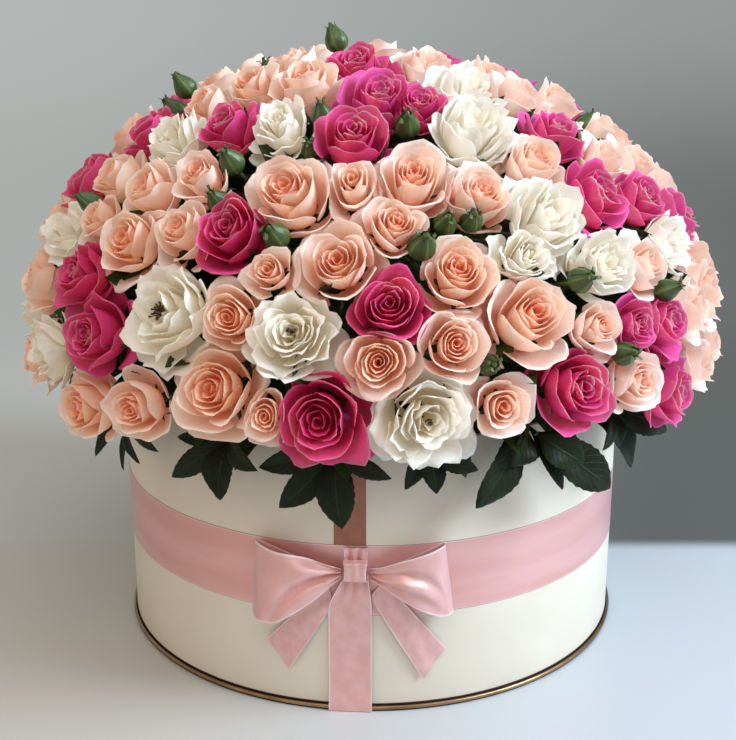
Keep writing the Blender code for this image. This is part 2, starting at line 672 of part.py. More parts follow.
def make_liner_and_foam(leaders, leaf_azimuths):
    outer = (BOX_RADIUS - WALL) * cos(pi / BOX_STEPS) - GAP
    inner = outer - LINER_WALL
    low = WALL + GAP
    turned_solid("liner", ((0, low), (outer, low), (outer, LINER_TOP), (inner, LINER_TOP),
                           (inner, low + LINER_WALL), (0, low + LINER_WALL)),
                 FOAM_STEPS, "liner_plastic")
    wide = inner - GAP
    outline = [(0, low + LINER_WALL + GAP), (wide, low + LINER_WALL + GAP), (wide, FOAM_SHOULDER)]
    start = np.arcsin((FOAM_SHOULDER - HEART[2]) / (DOME_RISE * FOAM_SHARE))
    for angle in np.linspace(start, pi / 2, 5)[:-1]:
        outline.append((DOME_RADIUS * FOAM_SHARE * cos(angle),
                        HEART[2] + DOME_RISE * FOAM_SHARE * sin(angle)))
    outline.append((0, HEART[2] + DOME_RISE * FOAM_SHARE))
    foam = turned_solid("foam", outline, FOAM_STEPS, "foam")
    holes = bpy.data.collections.new("stem_holes")
    bpy.context.scene.collection.children.link(holes)
    stretches = [(leader.at(ROOT_SHARE - HOLE_DEEPER), leader.at(FOAM_SHARE + HOLE_PAST), leader.side)
                 for leader in leaders]
    for azimuth in leaf_azimuths:
        root, fork = leaf_stem(azimuth)
        along = unit(fork - root)
        stretches.append((root + along * LEAF_HOLE[0], root + along * LEAF_HOLE[1], UP))
    for foot, mouth, side in stretches:
        cutter = stem_solid(foot, mouth, STEM_HOLE, side, "foam")
        bpy.context.scene.collection.objects.unlink(cutter)
        holes.objects.link(cutter)
    bore = foam.modifiers.new("stem_holes", "BOOLEAN")
    bore.operation = "DIFFERENCE"
    bore.operand_type = "COLLECTION"
    bore.collection = holes
    bpy.context.view_layer.objects.active = foam
    bpy.ops.object.modifier_apply(modifier=bore.name)
    for cutter in list(holes.objects):
        bpy.data.objects.remove(cutter)
    bpy.data.collections.remove(holes)


# The ribbons. Each lies on the round wall, so a place is a distance along the wall from the
# middle of the front, a height, and how far out from the wall its inner face is


def wall_point(x, z, out):
    return on_cylinder(np.degrees(x / BOX_RADIUS), BOX_RADIUS + out, z)


def ribbon_solid(name, stations, columns, finish):
    """A strip through stations of two edge points, each given as x, z and stand-off, split
    across its width so that it follows the round wall."""
    rings = []
    for edge_a, edge_b in stations:
        across = [np.array(edge_a) + (np.array(edge_b) - edge_a) * k / columns
                  for k in range(columns + 1)]
        ring = [wall_point(x, z, out) for x, z, out in across]
        ring += [wall_point(x, z, out + RIBBON) for x, z, out in reversed(across)]
        rings.append(ring)
    points, faces = skinned(rings)
    return facing_out(from_points(name, points, faces, finish))


def make_band():
    inside = BOX_RADIUS + GAP
    turned("ribbon_band", ((inside, BAND_LOW), (inside + RIBBON, BAND_LOW),
                           (inside + RIBBON, BAND_HIGH), (inside, BAND_HIGH)), BOX_STEPS, "satin")


def upright_strip(name, width, heights, finish):
    """A strip up the front, through heights that each have a stand-off."""
    left, right = STRIP_X - width / 2, STRIP_X + width / 2
    stations = [((left, z, out), (right, z, out)) for z, out in heights]
    ribbon_solid(name, stations, STRIP_COLUMNS, finish)


def make_strips():
    upright_strip("ribbon_riser", RISER_WIDTH, ((BAND_HIGH + GAP, GAP), (RISER_TOP, GAP)),
                  "taupe_satin")
    over_band = GAP + RIBBON + GAP
    over_trim = TRIM_RADIUS - BOX_RADIUS + GAP
    upright_strip("ribbon_drop", DROP_WIDTH,
                  ((DROP_FOOT, over_trim), (DROP_CLEARS_TRIM, over_trim), DROP_SETTLES,
                   (DROP_MEETS_BAND, over_band), (DROP_TOP, over_band)), "satin")


LOOP_BACK = 0.0028
LOOP_PATHS = {
    "bow_loop_left": ((-0.0161, 0.104, 0.0955, 0.0060), (-0.028, 0.107, 0.0900, 0.0090),
                      (-0.045, 0.111, 0.0790, 0.0125), (-0.060, 0.114, 0.0660, 0.0125),
                      (-0.071, 0.1135, 0.0655, 0.0095), (-0.0725, 0.113, 0.0660, 0.0065),
                      (-0.070, 0.112, 0.0670, LOOP_BACK), (-0.055, 0.110, 0.0740, LOOP_BACK),
                      (-0.035, 0.107, 0.0860, LOOP_BACK), (-0.0161, 0.104, 0.0955, 0.0036)),
    "bow_loop_right": ((-0.0015, 0.104, 0.0955, 0.0060), (0.010, 0.107, 0.0900, 0.0085),
                       (0.026, 0.112, 0.0800, 0.0120), (0.040, 0.116, 0.0720, 0.0120),
                       (0.049, 0.1155, 0.0710, 0.0095), (0.0505, 0.115, 0.0705, 0.0065),
                       (0.048, 0.114, 0.0715, LOOP_BACK), (0.034, 0.111, 0.0770, LOOP_BACK),
                       (0.016, 0.107, 0.0870, LOOP_BACK), (-0.0015, 0.104, 0.0955, 0.0036)),
}


def make_loop(name):
    """One loop of the bow: a band that runs out from the knot, folds and runs back, each place
    on it given as x, the height of its top and bottom edges, and its stand-off."""
    path = LOOP_PATHS[name]
    flat = np.array([(x, out) for x, _, _, out in path])
    rings = []
    for k, (x, top, low, out) in enumerate(path):
        run = flat[min(k + 1, len(path) - 1)] - flat[max(k - 1, 0)]
        across = np.array([-run[1], run[0]]) / np.hypot(*run) * RIBBON / 2
        ring = [(x + s * across[0], z, out + s * across[1]) for s, z in
                ((1, low), (1, top), (-1, top), (-1, low))]
        rings.append([wall_point(*corner) for corner in ring])
    points, faces = skinned(rings)
    facing_out(from_points(name, points, faces, "satin"))


def make_tails():
    """The two ends of the bow, flat on the wall to either side of the drop, each cut at a slant."""
    out = GAP + RIBBON + GAP
    ribbon_solid("bow_tail_left", (((-0.0266, 0.0885, out), (-0.0266, 0.0700, out)),
                                   ((-0.0440, 0.0680, out), (-0.0370, 0.0520, out)),
                                   ((-0.0640, 0.0445, out), (-0.0517, 0.0272, out))),
                 TAIL_COLUMNS, "satin")
    ribbon_solid("bow_tail_right", (((0.0006, 0.0790, out), (0.0100, 0.0905, out)),
                                    ((0.0090, 0.0670, out), (0.0290, 0.0770, out)),
                                    ((0.0329, 0.0235, out), (0.0465, 0.0435, out))),
                 TAIL_COLUMNS, "satin")


def make_knot():
    """The wrap round the middle of the bow: a plain block, nearly square seen from the front."""
    left, right = KNOT_X - KNOT_WIDTH / 2, KNOT_X + KNOT_WIDTH / 2
    rings = []
    for z in (KNOT_Z - KNOT_HEIGHT / 2, KNOT_Z + KNOT_HEIGHT / 2):
        rings.append([wall_point(left, z, KNOT_BACK), wall_point(left, z, KNOT_FRONT),
                      wall_point(right, z, KNOT_FRONT), wall_point(right, z, KNOT_BACK)])
    points, faces = skinned(rings)
    facing_out(from_points("bow_knot", points, faces, "satin"))


clear_scene()
make_box()
make_band()
make_strips()
for loop_name in LOOP_PATHS:
    make_loop(loop_name)
make_tails()
make_knot()
dome_blooms, dome_buds = filled_dome()
spray_leaders = make_sprays(dome_blooms, dome_buds)
leaf_places = leaf_sprays()
make_liner_and_foam(spray_leaders, leaf_places)
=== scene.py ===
"""The looks of a round hat box that holds a dome of roses: its card, ribbon, bow, petals, buds and
leaves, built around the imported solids, in metres, with the front facing -Y."""

from math import cos, pi, radians, sin

import bpy
import numpy as np
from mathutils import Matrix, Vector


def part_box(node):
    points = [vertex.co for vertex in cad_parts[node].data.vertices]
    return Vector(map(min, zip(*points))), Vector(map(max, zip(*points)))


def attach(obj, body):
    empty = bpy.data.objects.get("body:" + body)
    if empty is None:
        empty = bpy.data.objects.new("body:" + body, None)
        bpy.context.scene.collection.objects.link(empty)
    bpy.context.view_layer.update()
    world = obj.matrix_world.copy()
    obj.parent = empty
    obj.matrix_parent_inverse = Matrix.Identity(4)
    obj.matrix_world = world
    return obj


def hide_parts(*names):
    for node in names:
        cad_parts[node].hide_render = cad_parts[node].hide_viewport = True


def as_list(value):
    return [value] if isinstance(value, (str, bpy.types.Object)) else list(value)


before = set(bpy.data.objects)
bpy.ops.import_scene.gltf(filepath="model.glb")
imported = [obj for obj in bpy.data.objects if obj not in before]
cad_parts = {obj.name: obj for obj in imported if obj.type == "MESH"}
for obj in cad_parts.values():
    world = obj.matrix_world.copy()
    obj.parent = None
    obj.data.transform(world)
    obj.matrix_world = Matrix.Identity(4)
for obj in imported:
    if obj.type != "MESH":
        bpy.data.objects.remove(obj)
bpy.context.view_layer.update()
bpy.ops.object.select_all(action="DESELECT")


# The base disc. Grey board, cut round and glued inside the foot of the wall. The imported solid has
# the right shape, so it only gets its finish: pulp fibres pressed flat, seen on the underside.

def tint(red, green, blue):
    """A colour given as it looks on a screen, 0 to 255, as the shader wants it."""
    parts = np.array([red, green, blue]) / 255
    linear = np.where(parts <= 0.04045, parts / 12.92, ((parts + 0.055) / 1.055) ** 2.4)
    return (*(float(part) for part in linear), 1.0)


class Wire:
    """A socket of a finish that sums can be written with."""

    def __init__(self, finish, socket):
        self.finish, self.socket = finish, socket

    def math(self, operation, *values):
        return self.finish.add("Math", {"operation": operation}, dict(enumerate(values)))

    def __add__(self, other):
        return self.math("ADD", self, other)

    def __radd__(self, other):
        return self.math("ADD", other, self)

    def __sub__(self, other):
        return self.math("SUBTRACT", self, other)

    def __rsub__(self, other):
        return self.math("SUBTRACT", other, self)

    def __mul__(self, other):
        return self.math("MULTIPLY", self, other)

    def __rmul__(self, other):
        return self.math("MULTIPLY", other, self)

    def __truediv__(self, other):
        return self.math("DIVIDE", self, other)

    def __abs__(self):
        return self.math("ABSOLUTE", self)


class Finish:
    """A named material with one Principled shader, whose even values are set on its own sockets."""

    def __init__(self, name, **even):
        self.material = bpy.data.materials.new(name)
        self.material.use_nodes = True
        self.nodes = self.material.node_tree.nodes
        self.links = self.material.node_tree.links
        self.shader = self.nodes["Principled BSDF"]
        for socket, value in even.items():
            title = socket.replace("_", " ").title().replace("Ior", "IOR")
            self.shader.inputs[title].default_value = value

    def add(self, kind, settings=None, inputs=None, output=0):
        """Adds one node: its settings first, among them a ramp's stops, then its sockets."""
        node = self.nodes.new("ShaderNode" + kind)
        for key, value in (settings or {}).items():
            if key == "stops":
                ramp = node.color_ramp.elements
                while len(ramp) < len(value):
                    ramp.new(0.5)
                for stop, (place, colour) in zip(ramp, value):
                    stop.position, stop.color = place, colour
            else:
                setattr(node, key, value)
        for key, value in (inputs or {}).items():
            self.feed(node.inputs[key], value)
        return Wire(self, node.outputs[output])

    def feed(self, socket, value):
        if isinstance(value, Wire):
            self.links.new(value.socket, socket)
        else:
            socket.default_value = value

    def drive(self, socket, wire):
        self.feed(self.shader.inputs[socket], wire)

    def place(self, stretch=(1, 1, 1)):
        """Where a point lies on the object, in metres, stretched along each axis."""
        spot = self.add("TexCoord", output="Object")
        return self.add("Mapping", inputs={"Vector": spot, "Scale": stretch})

    def part(self, vector, axis):
        return self.add("SeparateXYZ", inputs={0: vector}, output=axis)

    def noise(self, where, scale, detail=3.0, rough=0.5):
        return self.add("TexNoise", inputs={"Vector": where, "Scale": scale, "Detail": detail,
                                            "Roughness": rough})

    def step(self, wire, low, high):
        """Runs smoothly from 0 to 1 as wire goes from low to high."""
        settings = {"interpolation_type": "SMOOTHSTEP"}
        return self.add("MapRange", settings, {"Value": wire, "From Min": low, "From Max": high})

    def mix(self, share, first, second):
        return self.add("Mix", {"data_type": "RGBA"}, {0: share, 6: first, 7: second}, output=2)

    def bump(self, height, distance, strength=1.0):
        lift = self.add("Bump", inputs={"Height": height, "Distance": distance, "Strength": strength})
        self.drive("Normal", lift)


board = Finish("grey_board", roughness=0.9)
fibres = board.noise(board.place(), 900, 5, 0.65)
pulp = board.mix(board.step(fibres, 0.35, 0.7), tint(150, 143, 130), tint(186, 178, 164))
board.drive("Base Color", pulp)
board.bump(fibres, 0.0002)
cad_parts["box_floor"].data.materials[0] = board.material


# The wall. A tube of card wrapped in cream paper, with the paper turned over the rim and glued
# inside. Its joint is a lapped strip at the back.

WALL_THICKNESS = 0.003
WALL_SIDES = 180
RIM_ROUND = 0.0009
PAPER_LAP = 0.012
PAPER_LAP_EDGE = 0.0006
PAPER_LAP_DEPTH = (0.10, 0.12)
FOOT_SHADE_HEIGHT = (0.0041, 0.0046)

wall_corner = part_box("box_wall")[1]
BOX_RADIUS = wall_corner.x
BOX_HEIGHT = wall_corner.z


def settle(piece, finish, replaced=()):
    """Gives a finished piece its material and its body, and hides what it stands for."""
    piece.data.materials.clear()
    piece.data.materials.append(finish.material)
    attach(piece, "root")
    if replaced:
        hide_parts(*replaced)
    piece.select_set(False)
    return piece


def apply_all(piece):
    bpy.context.view_layer.objects.active = piece
    for modifier in list(piece.modifiers):
        bpy.ops.object.modifier_apply(modifier=modifier.name)


def round_shell(name, radius, height, thickness, edge):
    """A standing tube of even thickness, measured inwards, with its edges rounded."""
    bpy.ops.mesh.primitive_cylinder_add(vertices=WALL_SIDES, radius=radius, depth=height,
                                        end_fill_type="NOTHING", location=(0, 0, height / 2))
    shell = bpy.context.object
    shell.name = shell.data.name = name
    bpy.ops.object.transform_apply(location=True)
    wall = shell.modifiers.new("thickness", "SOLIDIFY")
    wall.thickness = thickness
    wall.offset = -1
    soften = shell.modifiers.new("soft_edges", "BEVEL")
    soften.width = edge
    soften.segments = 3
    soften.limit_method = "ANGLE"
    soften.angle_limit = radians(50)
    apply_all(shell)
    bpy.ops.object.shade_smooth_by_angle(angle=radians(35))
    return shell


cream = Finish("cream_card", roughness=0.42, coat_weight=0.12, coat_roughness=0.35)
on_wall = cream.place()
grain = cream.noise(on_wall, 1400, 4, 0.6)
cloud = cream.noise(on_wall, 14, 2, 0.5)
paper = cream.mix(cream.step(cloud, 0.3, 0.7), tint(236, 228, 212), tint(230, 220, 203))
aside, depth, height = (cream.part(on_wall, axis) for axis in range(3))
lap = 1 - cream.step(abs(aside), PAPER_LAP / 2, PAPER_LAP / 2 + PAPER_LAP_EDGE)
lap = cream.step(depth, *PAPER_LAP_DEPTH) * lap
# Painted shade: a thin dark line round the foot of the wall, just above the trim.
foot_shade = 1 - cream.step(height, *FOOT_SHADE_HEIGHT)
cream.drive("Base Color", cream.mix(foot_shade, paper, tint(58, 38, 32)))
cream.drive("Roughness", 0.40 + 0.12 * grain)
cream.bump(grain * 0.5 + lap, 0.00012)
box_wall = round_shell("box_wall_card", BOX_RADIUS, BOX_HEIGHT, WALL_THICKNESS, RIM_ROUND)
settle(box_wall, cream, ["box_wall"])


# The foot trim. A thin rolled ring of gold-coloured metal, pressed on round the foot of the wall.

TRIM_ROUND = 0.0011
TRIM_FIT = 0.0003
TRIM_SHADE_HEIGHT = (0.0010, 0.0015)

trim_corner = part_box("base_trim")[1]
gold = Finish("gold_trim", metallic=1.0)
brushed = gold.noise(gold.place((1, 1, 30)), 260, 3, 0.6)
wear = gold.noise(gold.place(), 45, 3, 0.6)
rolled = gold.mix(gold.step(wear, 0.35, 0.75), tint(166, 136, 106), tint(134, 106, 82))
# Painted shadow: the bottom of the ring, where it meets the floor, is dark.
under = gold.step(gold.part(gold.place(), 2), *TRIM_SHADE_HEIGHT)
gold.drive("Base Color", gold.mix(under, tint(52, 34, 28), rolled))
gold.drive("Roughness", 0.24 + 0.15 * brushed)
gold.bump(brushed, 0.00004)
trim = round_shell("base_trim_ring", trim_corner.x, trim_corner.z,
                   trim_corner.x - BOX_RADIUS - TRIM_FIT, TRIM_ROUND)
settle(trim, gold, ["base_trim"])


# The liner. A thin clear-grey tub of polythene, dropped into the box to keep the water in. The
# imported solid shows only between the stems, so it gets its finish alone.

film = Finish("liner_film", base_color=tint(206, 210, 208))
crinkle = film.noise(film.place((1, 1, 0.4)), 60, 5, 0.6)
film.drive("Roughness", 0.12 + 0.25 * crinkle)
film.bump(crinkle, 0.0012)
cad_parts["liner"].data.materials[0] = film.material


# The foam. One block of soaked green flower foam that fills the liner and domes up over the rim.
# Its crumb is darker in patches, at random.

crumb = Finish("wet_foam", roughness=0.95)
cells = crumb.add("TexVoronoi", inputs={"Vector": crumb.place(), "Scale": 700})
soaked = crumb.noise(crumb.place(), 30, 4, 0.6)
crumb.drive("Base Color", crumb.mix(crumb.step(soaked, 0.35, 0.7), tint(28, 58, 34), tint(44, 84, 48)))
crumb.bump(cells, 0.0008)
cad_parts["foam"].data.materials[0] = crumb.material


# Where the blooms lie. The heads sit on a flattened sphere about a heart above the rim. The front
# is listed row by row from the left, and the rest is filled by seeded draws, as in the solids, so
# that every head here stands in its own solid's place.

HEART = np.array([0.0, 0.0, 0.213])
DOME_RADIUS = 0.2315
DOME_RISE = 0.1755
FOAM_SHARE = 0.60
ROOT_SHARE = 0.47
BASE_SHARE = 0.82
LOWEST_ELEVATION = 12.0
LOW_ROW = 6.0
LOW_SHARE = 0.95
EYE = np.array([0.0, -0.900, 0.446])
HEAD_LEAN = 0.10
FACING = 0.35
FACING_ELEVATION = 32.0
SEED = 11
CELL_REACH = 0.11
LEAST_SHARE = 0.55
PEACH, BLUSH, MAGENTA, WHITE, BUD = "peach", "blush", "magenta", "white", "bud"

# Azimuth from the front and elevation, in degrees, width in millimetres, and the kind
FRONT_ROWS = (
    ((-74, -3, 44, PEACH), (-62, 1, 42, WHITE), (-49, -5, 42, PEACH), (-36, -2, 40, PEACH),
     (-22, 3, 54, PEACH), (-14.5, 0, 30, PEACH), (-7, 0, 54, MAGENTA), (7.5, 0, 56, WHITE),
     (18, 1, 34, PEACH), (30.5, 2, 50, MAGENTA), (42, 1, 40, BLUSH), (54, -4, 42, MAGENTA),
     (66, -2, 44, PEACH)),
    ((-76, 10, 44, PEACH), (-46, 7, 46, MAGENTA), (-31, 12.5, 56, WHITE), (-20.5, 13, 38, PEACH),
     (-11, 11.5, 52, WHITE), (1, 8, 44, PEACH), (11.5, 10, 42, PEACH), (23.5, 13, 58, PEACH),
     (35, 10, 36, BLUSH), (43, 9, 34, MAGENTA), (51, 8, 40, MAGENTA), (62, 8, 42, PEACH)),
    ((-54, 15, 42, MAGENTA), (-68, 20, 42, WHITE), (-44, 22, 44, PEACH), (-33, 25, 38, PEACH),
     (-24, 26, 48, MAGENTA), (-15.5, 20, 28, PEACH), (-5, 21.5, 52, PEACH),
     (2.5, 15.5, 46, MAGENTA), (13, 20, 50, PEACH), (25, 21.5, 36, WHITE), (39, 18.5, 46, WHITE),
     (49.5, 17, 38, BLUSH), (63, 19, 42, WHITE)),
    ((-57, 24, 30, PEACH), (-62, 31, 40, PEACH), (-47, 31, 40, PEACH), (-36, 35, 38, PEACH),
     (-15.5, 33, 56, PEACH), (-3.5, 35, 34, PEACH), (4, 27.5, 40, PEACH), (8, 36, 50, PEACH),
     (20, 32, 46, PEACH), (31.5, 27.5, 56, WHITE), (36.5, 38, 42, PEACH), (47, 30, 46, MAGENTA),
     (62, 27, 42, MAGENTA)),
    ((-73, 42, 46, MAGENTA), (-53, 41.5, 44, WHITE), (-41, 47, 42, MAGENTA), (-24, 48, 42, WHITE),
     (-4.5, 46, 50, MAGENTA), (27, 47, 56, WHITE), (53, 44, 42, MAGENTA), (61, 36, 36, PEACH),
     (78, 32, 40, PEACH)),
    ((-63, 52, 40, PEACH), (-58, 61, 42, PEACH), (-32, 65, 52, PEACH), (3, 58.5, 50, MAGENTA),
     (16, 56, 36, MAGENTA), (40, 60, 50, WHITE), (66, 56, 42, BLUSH), (-20, 80, 46, MAGENTA),
     (70, 76, 44, BLUSH)),
)
# Azimuth, elevation, width in millimetres, and how far the bud stands out
FRONT_BUDS = (
    (-31, 38.5, 19, -0.02), (-29, 30.5, 18, -0.03), (-16, 25.5, 20, -0.03), (-62, 25.5, 18, 0.0),
    (8, 24, 21, -0.02), (13, 28, 17, -0.04), (18, 28.3, 17, -0.04), (17, 6.5, 16, -0.04),
    (33, 17, 19, 0.0), (52, 12.5, 18, 0.0), (39, 5.5, 18, 0.0), (10, 50, 20, -0.03),
    (-15, 53, 18, -0.03), (-15, 44, 15, -0.05), (-80, 52, 19, 0.045), (-95, 83, 20, 0.065),
)
FILL_WIDTHS = (46, 48, 50, 52)
FILL_CROWDING = 0.92
FILL_SPOTS = 5000
FILL_LOW = -4.5
FILL_EXPOSURE = 0.10
FILL_SHARES = ((PEACH, 0.50), (MAGENTA, 0.25), (WHITE, 0.20), (BLUSH, 0.05))
FILL_BUD_WIDTH = 20
FILL_BUDS = 12
BUD_LIFT = (-0.05, -0.01)
GOLDEN_TURN = 137.50776


def unit(vector):
    return vector / np.linalg.norm(vector)


def dome_reach(out):
    """How far the dome's surface lies from its heart along a direction."""
    return 1.0 / np.hypot(np.hypot(out[0], out[1]) / DOME_RADIUS, out[2] / DOME_RISE)


def even_spots(count, lowest):
    """Azimuth and elevation of spots spread evenly over the dome, down to the lowest one's sine."""
    return [(GOLDEN_TURN * k % 360.0, np.degrees(np.arcsin(1 - (k + 0.5) / count * (1 - lowest))))
            for k in range(count)]


def heading(azimuth, elevation):
    a, e = radians(azimuth), radians(elevation)
    return np.array([sin(a) * cos(e), -cos(a) * cos(e), sin(e)])


class Head:
    """One bloom or bud on the dome: where it lies, how wide it is, and its own random turn."""

    def __init__(self, azimuth, elevation, width, kind, lift, rng):
        self.azimuth, self.elevation, self.kind, self.lift = azimuth, elevation, kind, lift
        self.colour = PEACH if kind == BLUSH else kind
        self.radius = width / 2000
        self.out = heading(azimuth, elevation)
        self.reach = dome_reach(self.out)
        self.surface = HEART + self.out * self.reach
        squash = np.array([DOME_RADIUS ** -2, DOME_RADIUS ** -2, DOME_RISE ** -2])
        self.normal = unit((self.surface - HEART) * squash)
        self.spread = self.radius / self.reach
        looks = self.normal * (1 - FACING) + heading(azimuth, FACING_ELEVATION) * FACING
        self.axis = unit(looks + rng.uniform(-1, 1, 3) * HEAD_LEAN)
        level = unit(np.cross(self.axis, (0.31, 0.12, 0.94)))
        turn = rng.uniform(0, 2 * pi)
        self.side = level * cos(turn) + np.cross(self.axis, level) * sin(turn)
        self.up = np.cross(self.axis, self.side)
        self.middle = self.surface + self.out * self.reach * lift

    def at(self, share):
        return HEART + self.out * self.reach * share

    def around(self, radius, distance, angle, height):
        """Places by distance from the axis, angle and height, each for a head of radius 1."""
        return (self.middle + radius * ((distance * np.cos(angle))[..., None] * self.side
                                        + (distance * np.sin(angle))[..., None] * self.up
                                        + (height * np.ones_like(angle))[..., None] * self.axis))


def apart(one, other):
    return np.linalg.norm(one.surface - other.surface)


def fill_dome(heads, spots, widths, kinds, most, rng):
    """Adds one head after another where it lies snug against its three nearest neighbours."""
    added = []
    open_spots = [Head(az, el, 0, PEACH, 0.0, rng) for az, el in spots]
    open_spots = [spot for spot in open_spots
                  if float(np.dot(spot.normal, unit(EYE - spot.surface))) < FILL_EXPOSURE]
    places = np.array([spot.surface for spot in open_spots])
    room = np.array([np.linalg.norm(places - head.surface, axis=1) - head.radius * FILL_CROWDING
                     for head in heads])
    while len(added) < most:
        width = rng.choice(widths)
        nearest = np.sort(room, axis=0)[:3] - width / 2000 * FILL_CROWDING
        if not (nearest[0] > 0).any():
            break
        spot = open_spots[int(np.argmin(np.where(nearest[0] > 0, nearest.sum(axis=0), np.inf)))]
        kind = rng.choice([k for k, _ in kinds], p=[share for _, share in kinds])
        lift = rng.uniform(*BUD_LIFT) if kind == BUD else 0.0
        new = Head(spot.azimuth, spot.elevation, width, str(kind), lift, rng)
        added.append(new)
        gap = np.linalg.norm(places - new.surface, axis=1) - new.radius * FILL_CROWDING
        room = np.vstack([room, gap])
    return added


draws = np.random.default_rng(SEED)
blooms = [Head(az, el, width, kind, 0.0, draws) for row in FRONT_ROWS for az, el, width, kind in row]
buds = [Head(az, el, width, BUD, lift, draws) for az, el, width, lift in FRONT_BUDS]
dome_spots = even_spots(FILL_SPOTS, sin(radians(FILL_LOW)))
blooms += fill_dome(blooms + buds, dome_spots, FILL_WIDTHS, FILL_SHARES, FILL_SPOTS, draws)
buds += fill_dome(blooms + buds, dome_spots, (FILL_BUD_WIDTH,), ((BUD, 1.0),), FILL_BUDS, draws)


def cell_walls(head, heads):
    """The planes through the heart that part a head from each near neighbour, and one below it."""
    planes = []
    for other in heads:
        if other is head or apart(other, head) > CELL_REACH:
            continue
        between = np.arccos(np.clip(head.out @ other.out, -1, 1))
        turn = np.arctan2(cos(other.spread) / cos(head.spread) - cos(between), sin(between))
        least, most = LEAST_SHARE * head.spread, between - LEAST_SHARE * other.spread
        turn = np.clip(turn, least, most) if least < most else between / 2
        towards = unit(other.out - head.out * (head.out @ other.out))
        planes.append(head.out * sin(turn) - towards * cos(turn))
    flat = unit(np.array([head.out[0], head.out[1], 0.0]))
    low = radians(LOWEST_ELEVATION)
    if head.elevation < LOW_ROW:
        low = head.spread * LOW_SHARE - radians(head.elevation)
    planes.append(flat * sin(low) + np.array([0, 0, cos(low)]))
    return np.array(planes)


# The sprays. Each spray is one cut stem that stands in a hole in the foam and forks to several
# heads of one colour. The heads are shared out by the solids' own rule, so that each spray here
# has the heads of the solid that it stands for.

SPRAY_COUNTS = {PEACH: 14, MAGENTA: 11, WHITE: 11}
SPRAY_CHOICES = 5
CENTRINGS = 3
PLAN_TRIES = 12
FORK_SHARES = tuple(0.800 - 0.013 * k for k in range(13))
FORK_CLEAR = 0.0020
FOAM_CLEAR = 0.018
STEM_CLEAR = 0.0039


def leaders_of(flock, count):
    """Picks one bloom after another, each the furthest from those picked, then centres them."""
    picks = [flock[0]]
    while len(picks) < min(count, len(flock)):
        picks.append(max(flock, key=lambda b: min(apart(b, p) for p in picks)))
    for _ in range(CENTRINGS):
        flocks = {id(p): [] for p in picks}
        for bloom in flock:
            near = min(picks, key=lambda p: apart(bloom, p))
            flocks[id(near)].append(bloom)
        picks = [min(group, key=lambda b: np.linalg.norm(
            b.surface - np.mean([g.surface for g in group], axis=0))) for group in flocks.values()]
    return picks


def stretch_gap(a, b, c, d):
    """The least distance between the stretches a-b and c-d."""
    u, v, w = b - a, d - c, a - c
    uu, uv, vv, uw, vw = u @ u, u @ v, v @ v, u @ w, v @ w
    under = uu * vv - uv * uv
    s = np.clip((uv * vw - vv * uw) / under, 0, 1) if under > 1e-12 else 0.0
    t = np.clip((uv * s + vw) / vv, 0, 1)
    s = np.clip((uv * t - uw) / uu, 0, 1)
    return float(np.linalg.norm(w + u * s - v * t))


def first_clear_fork(bloom, near, taken, tips, plan):
    """The first leader, and point on its stem, that a side stem reaches without a crossing."""
    start = bloom.at(BASE_SHARE)
    shape = np.array([DOME_RADIUS, DOME_RADIUS, DOME_RISE])
    for leader in near:
        forks = [fork for _, fork in plan[id(leader)][1]]
        for share in FORK_SHARES:
            point = leader.at(share)
            way = [start + (point - start) * t for t in np.linspace(0, 1, 7)]
            clear = all(np.linalg.norm((spot - HEART) / shape) > FOAM_SHARE + FOAM_CLEAR
                        for spot in way)
            clear = clear and all(np.linalg.norm(point - fork) > FORK_CLEAR for fork in forks)
            clear = clear and all(stretch_gap(start, point, a, b) > STEM_CLEAR
                                  for owner, a, b in taken if owner is not leader)
            clear = clear and all(stretch_gap(start, point, a, b) > STEM_CLEAR
                                  for owner, a, b in tips
                                  if owner is not leader and owner is not bloom)
            if clear:
                return leader, point
    return None


def spray_plan():
    """For each spray, its leader and its side heads, each with the point where its stem forks."""
    leaders = []
    for colour, count in SPRAY_COUNTS.items():
        leaders += leaders_of([b for b in blooms if b.colour == colour], count)
    picked = {id(leader) for leader in leaders}
    sides = [b for b in blooms + buds if id(b) not in picked]
    sides.sort(key=lambda b: min(apart(b, p) for p in leaders
                                 if b.kind == BUD or p.colour == b.colour))
    tips = [(b, b.at(BASE_SHARE), b.at(BASE_SHARE + 0.05)) for b in blooms + buds]
    for _ in range(PLAN_TRIES):
        taken = [(leader, leader.at(ROOT_SHARE), leader.at(BASE_SHARE)) for leader in leaders]
        plan = {id(leader): (leader, []) for leader in leaders}
        stuck = []
        for bloom in sides:
            near = [p for p in leaders if bloom.kind == BUD or p.colour == bloom.colour]
            near.sort(key=lambda p: apart(p, bloom))
            fork = first_clear_fork(bloom, near[:SPRAY_CHOICES], taken, tips, plan)
            if fork is None:
                stuck.append(bloom)
                continue
            plan[id(fork[0])][1].append((bloom, fork[1]))
            taken.append((fork[0], fork[1], bloom.at(BASE_SHARE)))
        if not stuck:
            break
        sides = stuck + [b for b in sides if not any(b is s for s in stuck)]
    return list(plan.values())


sprays = {}
spray_numbers = {PEACH: 0, MAGENTA: 0, WHITE: 0}
for leader, side_heads in spray_plan():
    spray_numbers[leader.colour] += 1
    name = f"{leader.colour}_roses_{spray_numbers[leader.colour]:02d}"
    sprays[name] = [(leader, leader.at(ROOT_SHARE))] + side_heads


# The stems and sepals. Green rose stems, thicker below the fork than above it, each ending in a
# small hip under its bloom with five sepals that bend away from the petals.

TRUNK_RADIUS = 0.0021
TWIG_RADIUS = 0.0011
STEM_SIDES = 6
HIP_DROP = 0.84
HIP_WIDTH = 0.17
HIP_HEIGHT = 0.16
SEPALS = 5
SEPAL_THICKNESS = 0.0005
SEPAL_COLUMNS = 3
SEPAL_ROWS = 4


